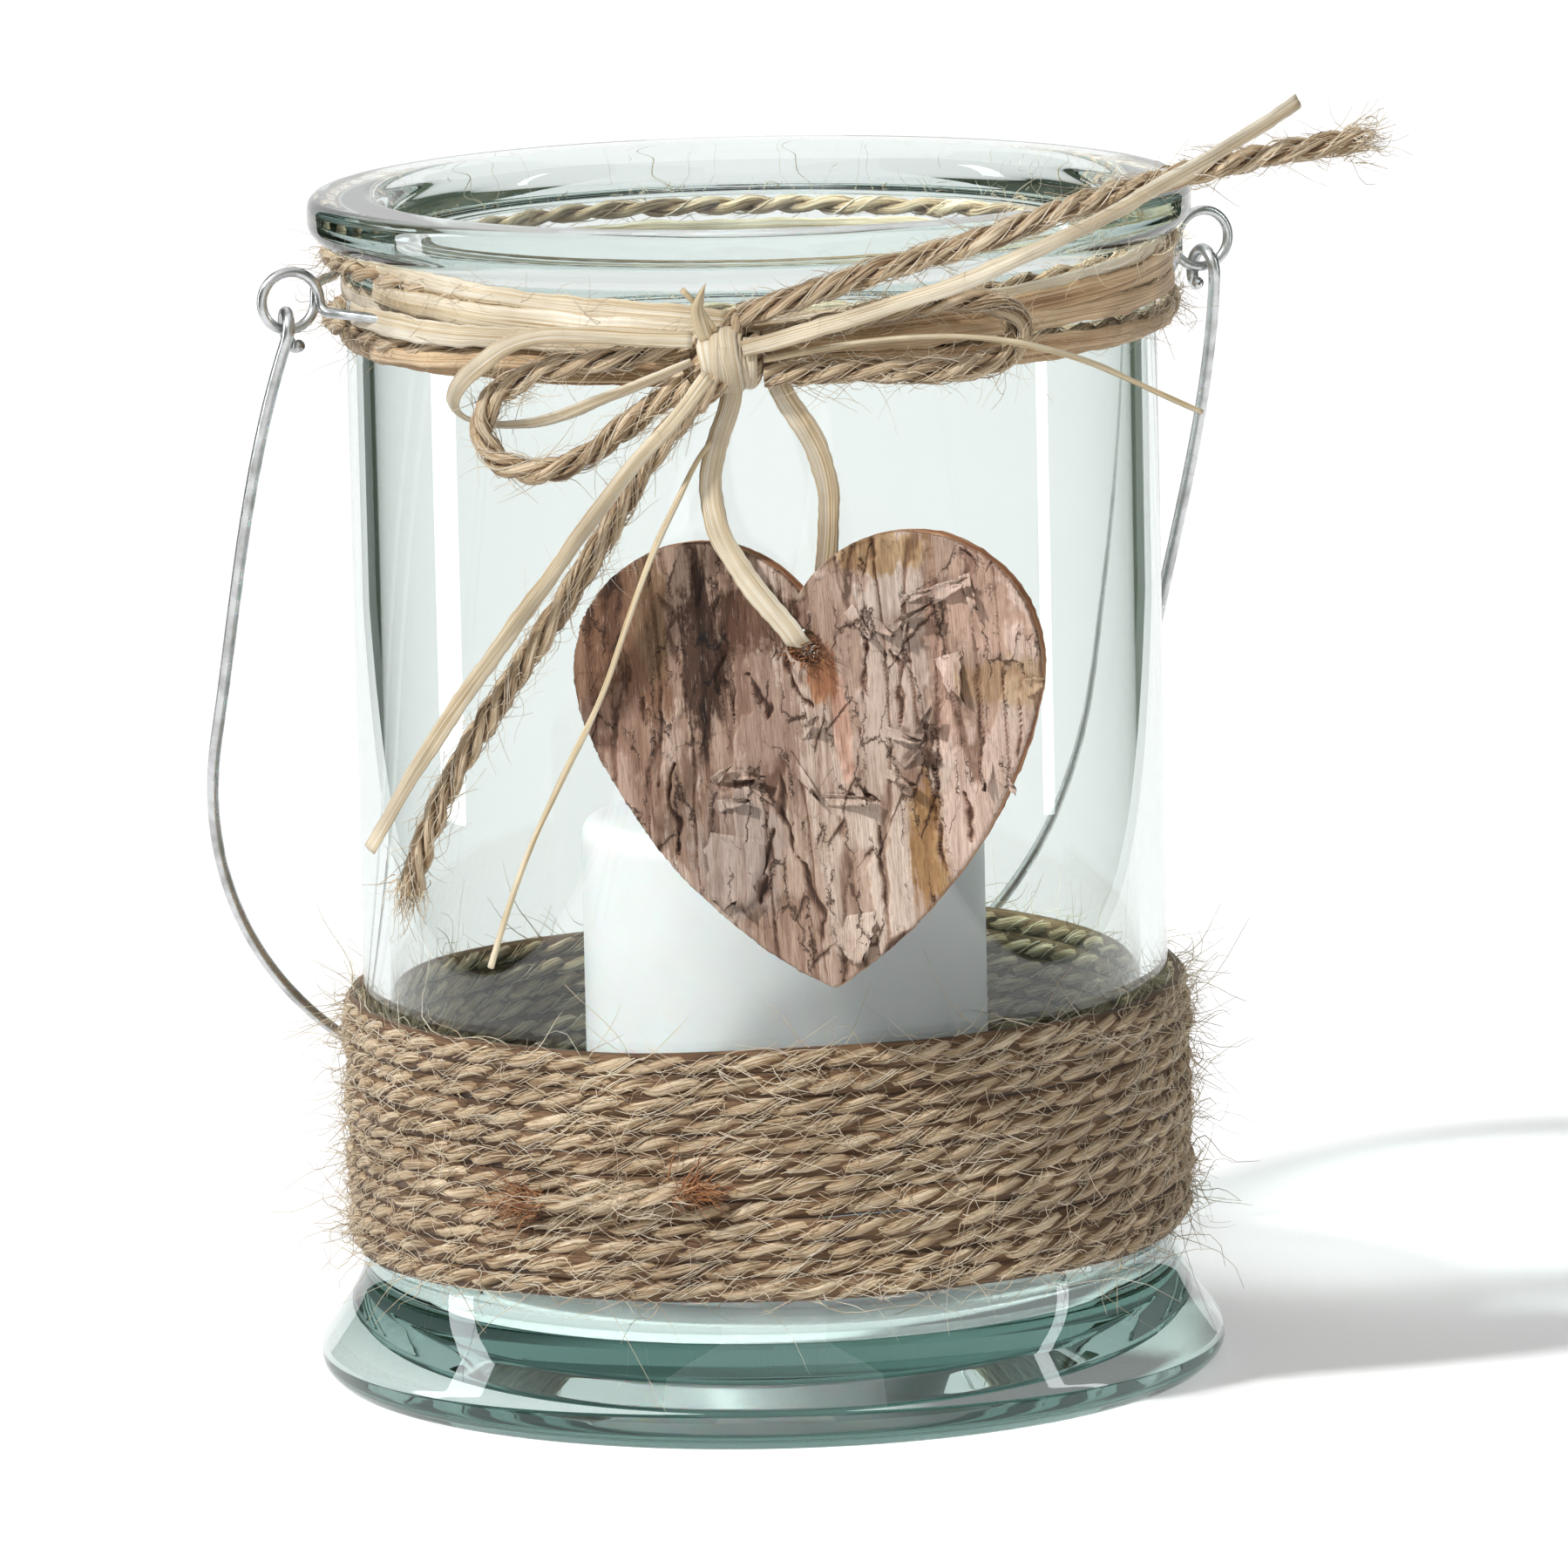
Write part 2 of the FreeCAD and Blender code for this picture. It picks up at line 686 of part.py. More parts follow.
def half_heart(body, name, depth, thickness):
    """Right half of the heart's outline, with the hole's centre at the origin, padded towards the front."""
    sketch = new_sketch(body, "XZ_Plane", name + "_outline")
    bind(sketch, "AttachmentOffset.Base.z", depth)
    lobe = heart_lobe.value
    side = heart_side.value
    centre = Vector(heart_lobe_out.value, heart_hole_drop.value - lobe, 0)
    tip = Vector(0, heart_hole_drop.value - heart_height.value, 0)
    to_tip = tip - centre
    step = lobe - side
    across_tip = (to_tip.dot(to_tip) + step * step - side * side) / (2 * step)
    join = math.atan2(to_tip.y, to_tip.x) + math.acos(across_tip / to_tip.Length)
    side_centre = centre + Vector(math.cos(join), math.sin(join), 0) * step
    tip_angle = math.atan2(tip.y - side_centre.y, tip.x - side_centre.x)
    notch = Vector(0, centre.y + math.sqrt(lobe ** 2 - centre.x ** 2), 0)
    notch_angle = math.atan2(notch.y - centre.y, notch.x - centre.x)
    up = Vector(0, 0, 1)
    sketch.addGeometry(Part.ArcOfCircle(Part.Circle(centre, up, lobe), join, notch_angle))
    sketch.addGeometry(Part.ArcOfCircle(Part.Circle(side_centre, up, side), tip_angle, join))
    sketch.addGeometry(Part.LineSegment(notch, tip))
    sketch.addConstraint(Sketcher.Constraint("Tangent", 1, 2, 0, 1))
    sketch.addConstraint(Sketcher.Constraint("Coincident", 0, 2, 2, 1))
    sketch.addConstraint(Sketcher.Constraint("Coincident", 2, 2, 1, 1))
    sketch.addConstraint(Sketcher.Constraint("PointOnObject", 2, 1, -2))
    place_point(sketch, 2, 2, 0, heart_hole_drop - heart_height)
    place_point(sketch, 0, 3, heart_lobe_out, heart_hole_drop - heart_lobe)
    bound_constraint(sketch, heart_lobe, "Radius", 0)
    bound_constraint(sketch, heart_side, "Radius", 1)
    pad = body.newObject("PartDesign::Pad", name + "_half")
    pad.Profile = sketch
    bind(pad, "Length", thickness)
    body.Tip = pad
    doc.recompute()
    return pad


def heart_plate(name, depth, thickness, edge_side):
    """One layer of the heart, with the hole through it and its outer edge broken."""
    body = doc.addObject("PartDesign::Body", name)
    pad = half_heart(body, name, depth, thickness)
    mirrored = body.newObject("PartDesign::Mirrored", name + "_whole")
    mirrored.Originals = [pad]
    mirrored.MirrorPlane = (next(p for p in body.Origin.OriginFeatures if p.Role == "YZ_Plane"), [""])
    body.Tip = mirrored
    doc.recompute()
    sketch = new_sketch(body, "XZ_Plane", name + "_hole_outline")
    sketch.addGeometry(Part.Circle(Vector(), Vector(0, 0, 1), heart_hole.value))
    place_point(sketch, 0, 3, 0, 0)
    bound_constraint(sketch, heart_hole, "Radius", 0)
    hole = body.newObject("PartDesign::Pocket", name + "_hole")
    hole.Profile = sketch
    hole.Type = "ThroughAll"
    hole.Midplane = True
    body.Tip = hole
    doc.recompute()
    print(f"{name}: {mirrored.Shape.Volume:.0f} whole, {hole.Shape.Volume:.0f} with its hole")
    face_y = -(depth.value + (thickness.value if edge_side < 0 else 0))
    names = []
    for i, edge in enumerate(hole.Shape.Edges, 1):
        box = edge.BoundBox
        flat = box.YLength < 0.01 and abs(box.YMin - face_y) < 0.01
        if flat and box.DiagonalLength > 3 * heart_hole.value:
            names.append(f"Edge{i}")
    broken = body.newObject("PartDesign::Chamfer", name + "_edge")
    broken.Base = (hole, names)
    bind(broken, "Size", heart_edge)
    body.Tip = broken
    doc.recompute()
    turn = Rotation(Vector(0, 0, 1), -heart_turn.value)
    tilt = Rotation(Vector(0, 1, 0), -heart_tilt.value)
    facing = turn.multVec(Vector(0, -1, 0))
    sideways = turn.multVec(Vector(1, 0, 0))
    base = facing * (body_radius.value + heart_gap.value) + sideways * heart_slide.value
    base.z = heart_hole_height.value
    node(body, name, Placement(base, turn.multiply(tilt)))


def heart():
    heart_plate("heart_core", as_size(0), heart_core_thick, 1)
    heart_plate("heart_bark", heart_core_thick, heart_bark_thick, -1)


def write_parts():
    doc.recompute()
    failed = [o.Name for o in doc.Objects if {"Invalid", "Error"} & set(o.State)]
    broken = [n.Label for n in nodes if not n.Shape.isValid() or len(n.Shape.Solids) != 1]
    if failed or broken:
        raise RuntimeError(f"failed objects {failed}, broken shapes {broken}")
    os.makedirs("parts", exist_ok=True)
    for item in nodes:
        item.Shape.exportStep(f"parts/{item.Label}.step")
    print(f"{len(nodes)} parts written")


glass_jar()
candle()
neck_hoop()
bail_handle()
band()
neck_turn("neck_twine_lower", neck_twine_low)
neck_turn("neck_twine_upper", neck_twine_high)
neck_strip("neck_raffia_upper", neck_raffia_high, neck_raffia_tall)
neck_strip("neck_raffia_lower", neck_raffia_low, neck_raffia_short)
bow_knot()
strands()
heart()
write_parts()
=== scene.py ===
"""Look of the jar lantern: clear glass, wax, zinc wire, jute twine, raffia and a birch bark heart.

Sizes are written in millimetres, as in the part's source, and every mesh is made in metres.
"""
import math

import bpy
import numpy as np
from mathutils import Matrix
from numpy.linalg import norm


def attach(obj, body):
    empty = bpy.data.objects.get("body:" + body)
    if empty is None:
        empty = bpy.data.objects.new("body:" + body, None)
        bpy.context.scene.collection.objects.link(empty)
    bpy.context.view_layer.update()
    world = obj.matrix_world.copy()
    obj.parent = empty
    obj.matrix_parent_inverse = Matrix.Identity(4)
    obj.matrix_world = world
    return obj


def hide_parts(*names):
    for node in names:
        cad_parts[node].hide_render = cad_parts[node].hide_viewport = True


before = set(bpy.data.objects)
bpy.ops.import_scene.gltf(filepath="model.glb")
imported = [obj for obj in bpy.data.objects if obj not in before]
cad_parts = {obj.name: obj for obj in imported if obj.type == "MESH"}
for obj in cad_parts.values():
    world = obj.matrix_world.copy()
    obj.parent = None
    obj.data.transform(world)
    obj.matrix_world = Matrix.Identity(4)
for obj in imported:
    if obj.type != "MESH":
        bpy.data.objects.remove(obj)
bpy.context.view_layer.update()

MM = 0.001
TURN = 2 * math.pi
WHITE = (1.0, 1.0, 1.0)
BLACK = (0.0, 0.0, 0.0)
UP = np.array([0, 0, 1.0])

# Sizes shared with the part
BODY_RADIUS = 60.0
LAY_GAP = 0.15
KNOT = np.array([-3.5, -68.0, 160.0])
KNOT_OPENING = 10.0
KNOT_HALF = 4.6
EAR_TURN = 21.0
EAR_REACH = 68.0
EAR_RADIUS = 4.3
EAR_HEIGHT = 164.6
EAR_LEAD = 2.0
EAR_BEND = 1.8
HOOP_RADIUS = 61.55
HOOP_REAR = 164.9
HOOP_FRONT = 162.2
NECK_WIRE = 1.5
BAIL_WIRE = 1.8
BAIL_LEG = 70.5
BAIL_BOW = 75.2
BAIL_EYE = 2.6
BAIL_LEAD = 2.5
BAIL_LEAN = math.radians(27.05)
BAND_TWINE = 2.6
BAND_PITCH = 3.05
BAND_TURNS = 12
BAND_FIRST = 21.6
NECK_TWINE = 3.2
BOW_TWINE = 3.8
RAFFIA_WIDE = 2.4
STRAW = 0.9
SLING_WIDE = 3.2
CANDLE_RADIUS = 30.0
CANDLE_BASE = 11.55
CANDLE_HEIGHT = 72.0
CANDLE_SHIFT = 3.0
HEART_HEIGHT = 65.3
HEART_LOBE = 19.0
HEART_LOBE_OUT = 15.5
HEART_SIDE = 70.0
HEART_CORE = 3.0
HEART_BARK = 1.4
HEART_HOLE = 2.4
HEART_DROP = 15.5
HEART_TURN = math.radians(15)
HEART_TILT = math.radians(4)
HEART_PLACE = (24.2, -61.0, 118.5)

# Sizes of the look alone
BAND_ROPE = 2.9
BAND_STEPS = 300
BAND_LAY = 13.5
BAND_BULGE = 0.35
BAND_WANDER = 0.42
NECK_LAY = 14.5
NECK_EASE = 0.2
NECK_DIP_REACH = 62.0
BOW_LAY = 17.5
TWINE_STEP = 0.7
NECK_STEP = 0.9
RIBBON_STEP = 1.2
STRIP_STEP = 1.0
STRAW_STEP = 0.8
WIRE_STEP = 0.5
ROUTE_RESOLUTION = 24
HOOP_GAP = 0.4
HOOP_STATION = 20.0
STATION_POINTS = 24
ROUNDING_POINTS = 9
ARC_POINTS = 120
KNOT_POINTS = 24
WRAP_POINTS = 60
SLING_BEND = 8
WOBBLE_WAVES = 5
WOBBLE_PEAK = 1.6
FIBRE_SIDES = 3
FIBRE_ROWS = 7
FLAKE_ROWS = 12
FLAKE_ACROSS = 7
FLAKE_HALF = 0.12
HOLE_FRAYS = 150

# A ply's radius and its distance from the middle, as shares of the rope's radius, by the number of plies
PLY_SHARES = {2: (0.62, 0.43), 3: (0.485, 0.515)}

# Routes of the free strands, near those of the part
TWINE_CORDS = {
    "bow_loop_left": [
        (-8.6, -67.4, 161.9), (-17.6, -68.2, 161), (-28, -66.6, 159.4), (-36, -63.2, 156.2),
        (-39.6, -60.5, 150.8), (-37.6, -61.5, 145.2), (-31.5, -65.3, 143.4), (-24.5, -67.6, 145.8),
        (-17, -68.9, 151.8), (-9.1, -69, 157.3),
    ],
    "bow_loop_right": [
        (1.6, -69.6, 157.8), (14, -69.8, 158.4), (26, -67, 157.2), (36, -62.2, 157.7),
        (39.4, -60.2, 162.2), (36.4, -59, 166.6), (26, -62.3, 167.2), (13, -66.3, 164.9),
        (1.6, -67.6, 162.3),
    ],
    "bow_tail_left": [
        (-8.3, -71.7, 154.5), (-14.9, -73.2, 147.4), (-20, -72.8, 138), (-26.5, -71.4, 127.5),
        (-34.5, -68.5, 115.5), (-43, -64.5, 102.5), (-48.5, -61, 91.5), (-51.2, -59, 82),
    ],
    "bow_tail_right": [
        (-1.5, -69, 166.2), (8, -71, 169.4), (20, -70.8, 173.2), (34, -68, 176.4),
        (47, -63.2, 180.6), (60, -57, 183.2), (74, -50.5, 185.8), (88.6, -45, 187),
    ],
}
RAFFIA_STRIPS = {
    "raffia_loop_left": [
        (-8.5, -71.2, 163.2), (-18.3, -71.8, 163.8), (-32, -70.3, 164.8), (-40.4, -66.2, 159.2),
        (-44, -61, 153.6), (-41.4, -56.6, 150.4), (-36.4, -57.8, 149.6), (-30.6, -62.6, 150.4),
        (-24, -67, 153.4), (-16, -70.8, 156.9), (-8.5, -71.4, 160),
    ],
    "raffia_tail_left": [
        (-6.3, -72.6, 158.2), (-10.8, -75.8, 152.6), (-18.2, -76.8, 145.2), (-26.2, -76, 134.6),
        (-33.6, -73.6, 124.4), (-42, -70.2, 113), (-49.8, -66.4, 101.4), (-56.8, -63, 89.2),
    ],
    "raffia_tail_right": [
        (-1.4, -72.8, 162), (9, -73.4, 164.6), (19, -73.4, 167.6), (30, -72.4, 170.6),
        (40, -69.8, 174.6), (50, -65.6, 178.4), (60, -60.6, 183.2), (70.5, -55, 188),
        (79.5, -50, 193.2),
    ],
}
RAFFIA_STRAWS = {
    "raffia_sprig": [
        (1.6, -71.4, 160.2), (12, -69.6, 161.8), (22, -67.4, 162.5), (31, -65.2, 162.2),
        (39, -63.4, 160.8), (48.6, -59, 157.4), (57, -56, 152.8), (64.7, -53, 148.8),
    ],
    "raffia_stub": [(-5.2, -70, 164.4), (-7, -71, 167.6), (-9.8, -71.6, 170.6)],
    "sling_tail": [
        (-6, -70.2, 148.6), (-8, -70.8, 146.4), (-10.8, -73, 141), (-14.8, -75, 133.5), (-18.7, -76, 123.4),
        (-22.5, -75.6, 112.4), (-29, -73, 99.8), (-35.7, -70, 85.4), (-39.6, -67, 72.3),
    ],
}
SLING = [
    (-2.6, -67.4, 157.6), (-2.8, -67.9, 154.7), (-5.2, -69.1, 148.5), (-6.8, -70.4, 141),
    (-4.6, -71.2, 133.2), (0.6, -71.8, 125.8), (4.4, -71.8, 121.2), (5.9, -71.5, 118.5), (8.1, -63, 118.5),
    (9.2, -62.6, 125), (10.6, -63.4, 134), (10.4, -65.4, 143.4), (7.4, -67, 150), (4.2, -67.4, 154.7),
    (3, -66.6, 158),
]
STUB_LEAF = [(-6.4, -70.6, 163.2), (-7.4, -71.4, 166.2), (-7.6, -72, 168.8), (-6.4, -72.2, 171.4)]
BAND_END = [(-36, -54, 35.2), (-28.5, -58.6, 35.7), (-20, -62.2, 36.9), (-10.8, -64.4, 38.4)]


# Numbers


def unit(vectors):
    return vectors / norm(vectors, axis=-1, keepdims=True)


def round_angles(count):
    return np.arange(count) * TURN / count


def girth(sides):
    """The map's values round a section, with the first point met again at the end."""
    return np.linspace(0, 1, sides + 1)


def wobble(s, span, seed):
    """Smooth unevenness between about -1 and 1 along lengths s, with features of about span."""
    rng = np.random.default_rng(seed)
    total = np.zeros_like(s, dtype=float)
    for k in range(1, WOBBLE_WAVES + 1):
        total += np.sin(TURN * s / span * rng.uniform(0.5, 1.0) * k / 2 + rng.uniform(0, TURN)) / k
    return total / WOBBLE_PEAK


def patchwork(x, y, seed, cells=64):
    """Smooth noise between 0 and 1 over a plane, with features of about one unit."""
    table = np.random.default_rng(seed).random((cells, cells))
    column = np.floor(x).astype(int)
    row = np.floor(y).astype(int)
    fx = x - column
    fy = y - row
    fx = fx * fx * (3 - 2 * fx)
    fy = fy * fy * (3 - 2 * fy)

    def blended(line):
        line = line % cells
        return table[column % cells, line] * (1 - fx) + table[(column + 1) % cells, line] * fx

    return blended(row) * (1 - fy) + blended(row + 1) * fy


def lengths(line):
    """Distances of a line's points from its start."""
    return np.concatenate([[0], np.cumsum(norm(np.diff(line, axis=0), axis=1))])


def points_at(line, s, at):
    """Points at given distances along a line whose own points have distances s."""
    return np.stack([np.interp(at, s, column) for column in line.T], 1)


def even(line, step):
    """Points at an even step along a line, and their distances from its start."""
    s = lengths(line)
    at = np.linspace(0, s[-1], max(3, round(s[-1] / step) + 1))
    return points_at(line, s, at), at


class Strand:
    """A line with a direction, a front and a side at each of its points."""

    def __init__(self, line, s, facing=(0, -1, 0)):
        self.line = line
        self.s = s
        self.along = unit(np.gradient(line, axis=0))
        self.front = np.empty_like(line)
        front = np.array(facing, float)
        for i, along in enumerate(self.along):
            front = unit(front - along * front.dot(along))
            self.front[i] = front
        self.side = np.cross(self.along, self.front)

    def faced(self, out):
        """The same strand with its fronts turned to given directions."""
        self.front = unit(out - self.along * np.sum(out * self.along, 1, keepdims=True))
        self.side = np.cross(self.along, self.front)
        return self

    def turned(self, angle):
        """Directions at an angle from the front towards the side."""
        angle = np.asarray(angle)[..., None]
        return np.cos(angle) * self.front + np.sin(angle) * self.side

    def spokes(self, sides):
        """Directions all round each point."""
        angles = np.broadcast_to(round_angles(sides)[:, None], (sides, len(self.s)))
        return self.turned(angles).transpose(1, 0, 2)


def spline_strand(points, step):
    """A strand along the smooth spline that has a route's points as its control points."""
    curve = bpy.data.curves.new("route", "CURVE")
    curve.dimensions = "3D"
    curve.resolution_u = ROUTE_RESOLUTION
    spline = curve.splines.new("NURBS")
    spline.points.add(len(points) - 1)
    for control, point in zip(spline.points, points):
        control.co = (*point, 1)
    spline.order_u = 3
    spline.use_endpoint_u = True
    holder = bpy.data.objects.new("route", curve)
    mesh = bpy.data.meshes.new_from_object(holder)
    line = np.array([v.co for v in mesh.vertices])
    bpy.data.objects.remove(holder)
    bpy.data.curves.remove(curve)
    bpy.data.meshes.remove(mesh)
    return Strand(*even(line, step))


def arc_points(start, end, step):
    """How many points an arc on the jar takes between two azimuths in degrees."""
    return max(8, round(math.radians(end - start) * BODY_RADIUS / step))


def round_neck(radius, height, start, end, step):
    """A strand round the jar's axis between two azimuths in degrees, with its front outwards."""
    count = arc_points(start, end, step)
    azimuth = np.radians(np.linspace(start, end, count))
    out = np.stack([np.cos(azimuth), np.sin(azimuth), np.zeros(count)], 1)
    line = out * np.broadcast_to(radius, count)[:, None]
    line[:, 2] = height
    return Strand(line, lengths(line), out[0]).faced(out)


# Meshes


def keep(mesh, name, values):
    """Keeps a number or a vector for each point of a mesh, under a name that its material reads."""
    kind, field = ("FLOAT", "value") if values.ndim == 1 else ("FLOAT_VECTOR", "vector")
    attribute = mesh.attributes.new(name, kind, "POINT")
    attribute.data.foreach_set(field, values.astype(np.float32).ravel())


class Shell:
    """The faces of one piece, with a map of length and girth, and how open to the light each point lies,
    which the rope's material turns into painted shade.
    """

    def __init__(self):
        self.points = []
        self.faces = []
        self.map = []
        self.open = []
        self.count = 0

    def skin(self, rings, u, v, closed=False, painted_shade_openness=1.0):
        """Skins rings of shape (rows, around, 3), or several such sets, each wrapped round on itself."""
        if rings.ndim == 3:
            rings = rings[None]
        sets, rows, around = rings.shape[:3]
        order = np.append(np.arange(rows), 0) if closed else np.arange(rows)
        index = (self.count + np.arange(sets * rows * around).reshape(sets, rows, around))[:, order]
        u = np.broadcast_to(np.asarray(u, float), (sets, rows))[:, order]
        v = np.broadcast_to(np.asarray(v, float), (sets, around + 1))
        low = index[:, :-1]
        high = index[:, 1:]
        quads = np.stack([low, np.roll(low, -1, 2), np.roll(high, -1, 2), high], -1)
        u_low, u_high = u[:, :-1, None], u[:, 1:, None]
        v_left, v_right = v[:, None, :-1], v[:, None, 1:]
        corners = [(u_low, v_left), (u_low, v_right), (u_high, v_right), (u_high, v_left)]
        spots = np.stack([np.stack(np.broadcast_arrays(a, b), -1) for a, b in corners], 3)
        self.points.append(rings.reshape(-1, 3))
        self.open.append(np.broadcast_to(painted_shade_openness, rings.shape[:3]).ravel())
        self.faces += quads.reshape(-1, 4).tolist()
        self.map.append(spots.reshape(-1, 2))
        self.count += sets * rows * around
        if closed:
            return self
        for k in range(sets):
            for row, way in ((0, -1), (-1, 1)):
                self.faces.append(index[k, row, ::way].tolist())
                self.map.append(np.stack([np.full(around, u[k, row]), v[k, :-1][::way]], 1))
        return self

    def piece(self, name, body, material, slot, nodes=()):
        mesh = bpy.data.meshes.new(name)
        mesh.from_pydata((np.concatenate(self.points) * MM).tolist(), [], self.faces, shade_flat=False)
        layer = mesh.uv_layers.new(name="lay")
        layer.data.foreach_set("uv", np.concatenate(self.map).astype(np.float32).ravel())
        mesh.materials.append(material)
        # How much light each point gets, kept for the material to paint shade in crevices
        keep(mesh, "painted_shade_openness", np.concatenate(self.open))
        made = bpy.data.objects.new(name, mesh)
        bpy.context.collection.objects.link(made)
        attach(made, body)
        if nodes:
            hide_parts(*nodes)
        return made


def tube(shell, strand, radius, sides=12):
    """A round tube along a strand."""
    radius = np.broadcast_to(radius, len(strand.s))
    rings = strand.line[:, None] + radius[:, None, None] * strand.spokes(sides)
    return shell.skin(rings, strand.s, girth(sides))


def rope(shell, strand, diameter, plies, pitch, seed, sides=6, taper=0.0, core=0.0):
    """Twisted plies along a strand, each uneven in thickness, over a core that fills the gaps; grooves, turn
    edges and the core carry painted shade.
    """
    rng = np.random.default_rng(seed)
    radius = diameter / 2
    thick_share, out_share = PLY_SHARES[plies]
    s = strand.s
    ends = np.minimum(1, 0.5 + np.minimum(s, s[-1] - s) / taper) if taper else 1.0
    lay = 1.1 * wobble(s, 4 * pitch, seed) - TURN * s / pitch
    for k in range(plies):
        offset = radius * out_share * (1 + 0.08 * wobble(s, 9.0, seed + 10 + k)) * ends
        centre = strand.line + offset[:, None] * strand.turned(lay + TURN * k / plies)
        thick = radius * thick_share * (1 + 0.13 * wobble(s, 7.0, seed + 20 + k)) * ends
        rough = 1 + 0.05 * rng.standard_normal((len(s), sides))
        rings = centre[:, None] + (thick[:, None] * rough)[..., None] * strand.spokes(sides)
        # Painted shade: points deep in the grooves between plies are kept darker
        reach = rings - strand.line[:, None]
        far = norm(reach, axis=-1)
        painted_shade_openness = np.clip((far / radius - 0.5) / 0.34, 0, 1)
        # On the band, the tops and bottoms of each turn get painted shade as well
        if core:
            facing = np.abs(np.sum(reach * strand.front[:, None], -1)) / far
            painted_shade_openness = painted_shade_openness * np.clip((facing + 0.05) / 0.6, 0, 1)
        shell.skin(rings, s + rng.uniform(0, 500), girth(sides) + rng.uniform(0, 9), painted_shade_openness=painted_shade_openness)
    if core:
        # The core fills the gaps between turns and is painted in full shade
        angles = round_angles(sides)[None, :, None]
        ring = 0.55 * np.cos(angles) * strand.front[:, None] + core * np.sin(angles) * strand.side[:, None]
        shell.skin(strand.line[:, None] + radius * ring, s + 33.0, girth(sides), painted_shade_openness=0.0)
    return shell


def yarns(shell, strand, diameter, pitch, count, seed, thick):
    """Coarse fibres that wind along on a rope's surface and dip in and out of it."""
    rng = np.random.default_rng(seed)
    s = strand.s
    for k in range(count):
        way = rng.uniform(0, TURN) + 0.6 * wobble(s, 30.0, seed + 31 * k) - TURN * s / pitch
        reach = diameter / 2 * (0.93 + 0.12 * wobble(s, 13.0, seed + 31 * k + 1))
        centre = strand.line + reach[:, None] * strand.turned(way)
        rings = centre[:, None] + thick * rng.uniform(0.7, 1.3) * strand.spokes(FIBRE_SIDES)
        shell.skin(rings, s, np.full(FIBRE_SIDES + 1, rng.uniform(0, 60)))
    return shell


def ribbon(shell, strand, width, thick, roll, crease, seed, across=8):
    """A flat strip with a creased section: width and roll may vary along it."""
    s = strand.s
    x = np.linspace(-1, 1, across)
    width = np.broadcast_to(width, len(s))[:, None]
    roll = np.broadcast_to(roll, len(s))
    side = strand.turned(roll + math.pi / 2)
    face = strand.turned(roll)
    fold = np.abs(x - 0.35 * wobble(s, 30.0, seed)[:, None]) - 0.4
    ripple = 0.25 * np.sin(4.5 * x + 2 * wobble(s, 22.0, seed + 1)[:, None])
    height = crease * (ripple - fold)
    edge = 1 + 0.09 * wobble(s, 4.0, seed + 2)[:, None] * x
    flat = strand.line[:, None] + (width / 2 * x * edge)[..., None] * side[:, None]
    half = thick / 2 * (1 - 0.6 * np.abs(x) ** 3)
    top = flat + (height + half)[..., None] * face[:, None]
    under = flat + (height - half)[..., None] * face[:, None]
    rings = np.concatenate([top[:, ::-1], under], 1)
    spread = np.concatenate([x[::-1] / 2, x / 2 + 0.02, x[-1:] / 2 + 0.02])
    return shell.skin(rings, s + 37.0 * (seed % 11), spread + 1.7 * (seed % 7))


def fibres(shell, strand, radius, count, length, seed, spread=math.pi, thick=0.05, stand=0.7, rows=(0, 1)):
    """Loose curled fibres standing out from part of a strand, up to spread away from its front."""
    rng = np.random.default_rng(seed)
    low, high = (np.array(rows) * (len(strand.line) - 2) + 1).astype(int)
    pick = rng.integers(low, high, count)
    around = rng.uniform(-spread, spread, count)
    out = np.cos(around)[:, None] * strand.front[pick] + np.sin(around)[:, None] * strand.side[pick]
    root = strand.line[pick] + out * radius * 0.8
    sense = np.where(rng.random(count) < 0.5, -1.0, 1.0)[:, None]
    aim = unit(out * rng.uniform(0.15, stand, (count, 1)) + sense * strand.along[pick])
    size = np.minimum(length * rng.lognormal(0, 0.5, count), 2.1 * length)
    return bristles(shell, root, aim, out, size, thick, rng)


def fray(shell, strand, at, sense, count, length, seed, spread, radius, thick):
    """A burst of fibres from one end of a strand."""
    rng = np.random.default_rng(seed)
    jitter = rng.standard_normal((count, 3))
    root = strand.line[at] + jitter * radius * 0.4
    aim = unit(sense * strand.along[at] + spread * rng.standard_normal((count, 3)))
    return bristles(shell, root, aim, unit(jitter), length * rng.uniform(0.5, 1.3, count), thick, rng)


def bristles(shell, root, aim, out, size, thick, rng):
    """Thin curled hairs from given roots."""
    count = len(root)
    t = np.linspace(0, 1, FIBRE_ROWS)[None, :, None]
    curl = unit(rng.standard_normal((count, 3)) + 0.4 * out)
    second = unit(np.cross(aim, curl))
    bend = rng.uniform(-0.4, 0.9, (count, 1, 1))
    wave = rng.uniform(0.04, 0.2, (count, 1, 1)) * np.sin(t * rng.uniform(3, 7, (count, 1, 1)))
    shape = aim[:, None] * t + curl[:, None] * bend * t ** 2 + second[:, None] * wave
    way = root[:, None] + size[:, None, None] * shape
    other = unit(np.cross(aim, second))
    angles = round_angles(FIBRE_SIDES)[:, None]
    ring = np.cos(angles) * second[:, None] + np.sin(angles) * other[:, None]
    slim = thick * rng.uniform(0.6, 1.3, (count, 1, 1)) * (1 - 0.6 * t)
    rings = way[:, :, None] + slim[..., None] * ring[:, None]
    hue = rng.uniform(0, 60, (count, 1)) + np.zeros((1, FIBRE_SIDES + 1))
    return shell.skin(rings, t[0, :, 0] * 8 + rng.uniform(0, 99, (count, 1)), hue)


def lathe(profile, segments, shift=0.0):
    """A profile of (radius, height) points turned about Z, from the bottom outwards, up and in again."""
    profile = np.array(profile)
    angles = round_angles(segments)
    rings = np.stack([
        profile[:, 0, None] * np.cos(angles) + shift,
        profile[:, 0, None] * np.sin(angles),
        np.repeat(profile[:, 1, None], segments, 1),
    ], -1)
    return Shell().skin(rings, lengths(profile), girth(segments))


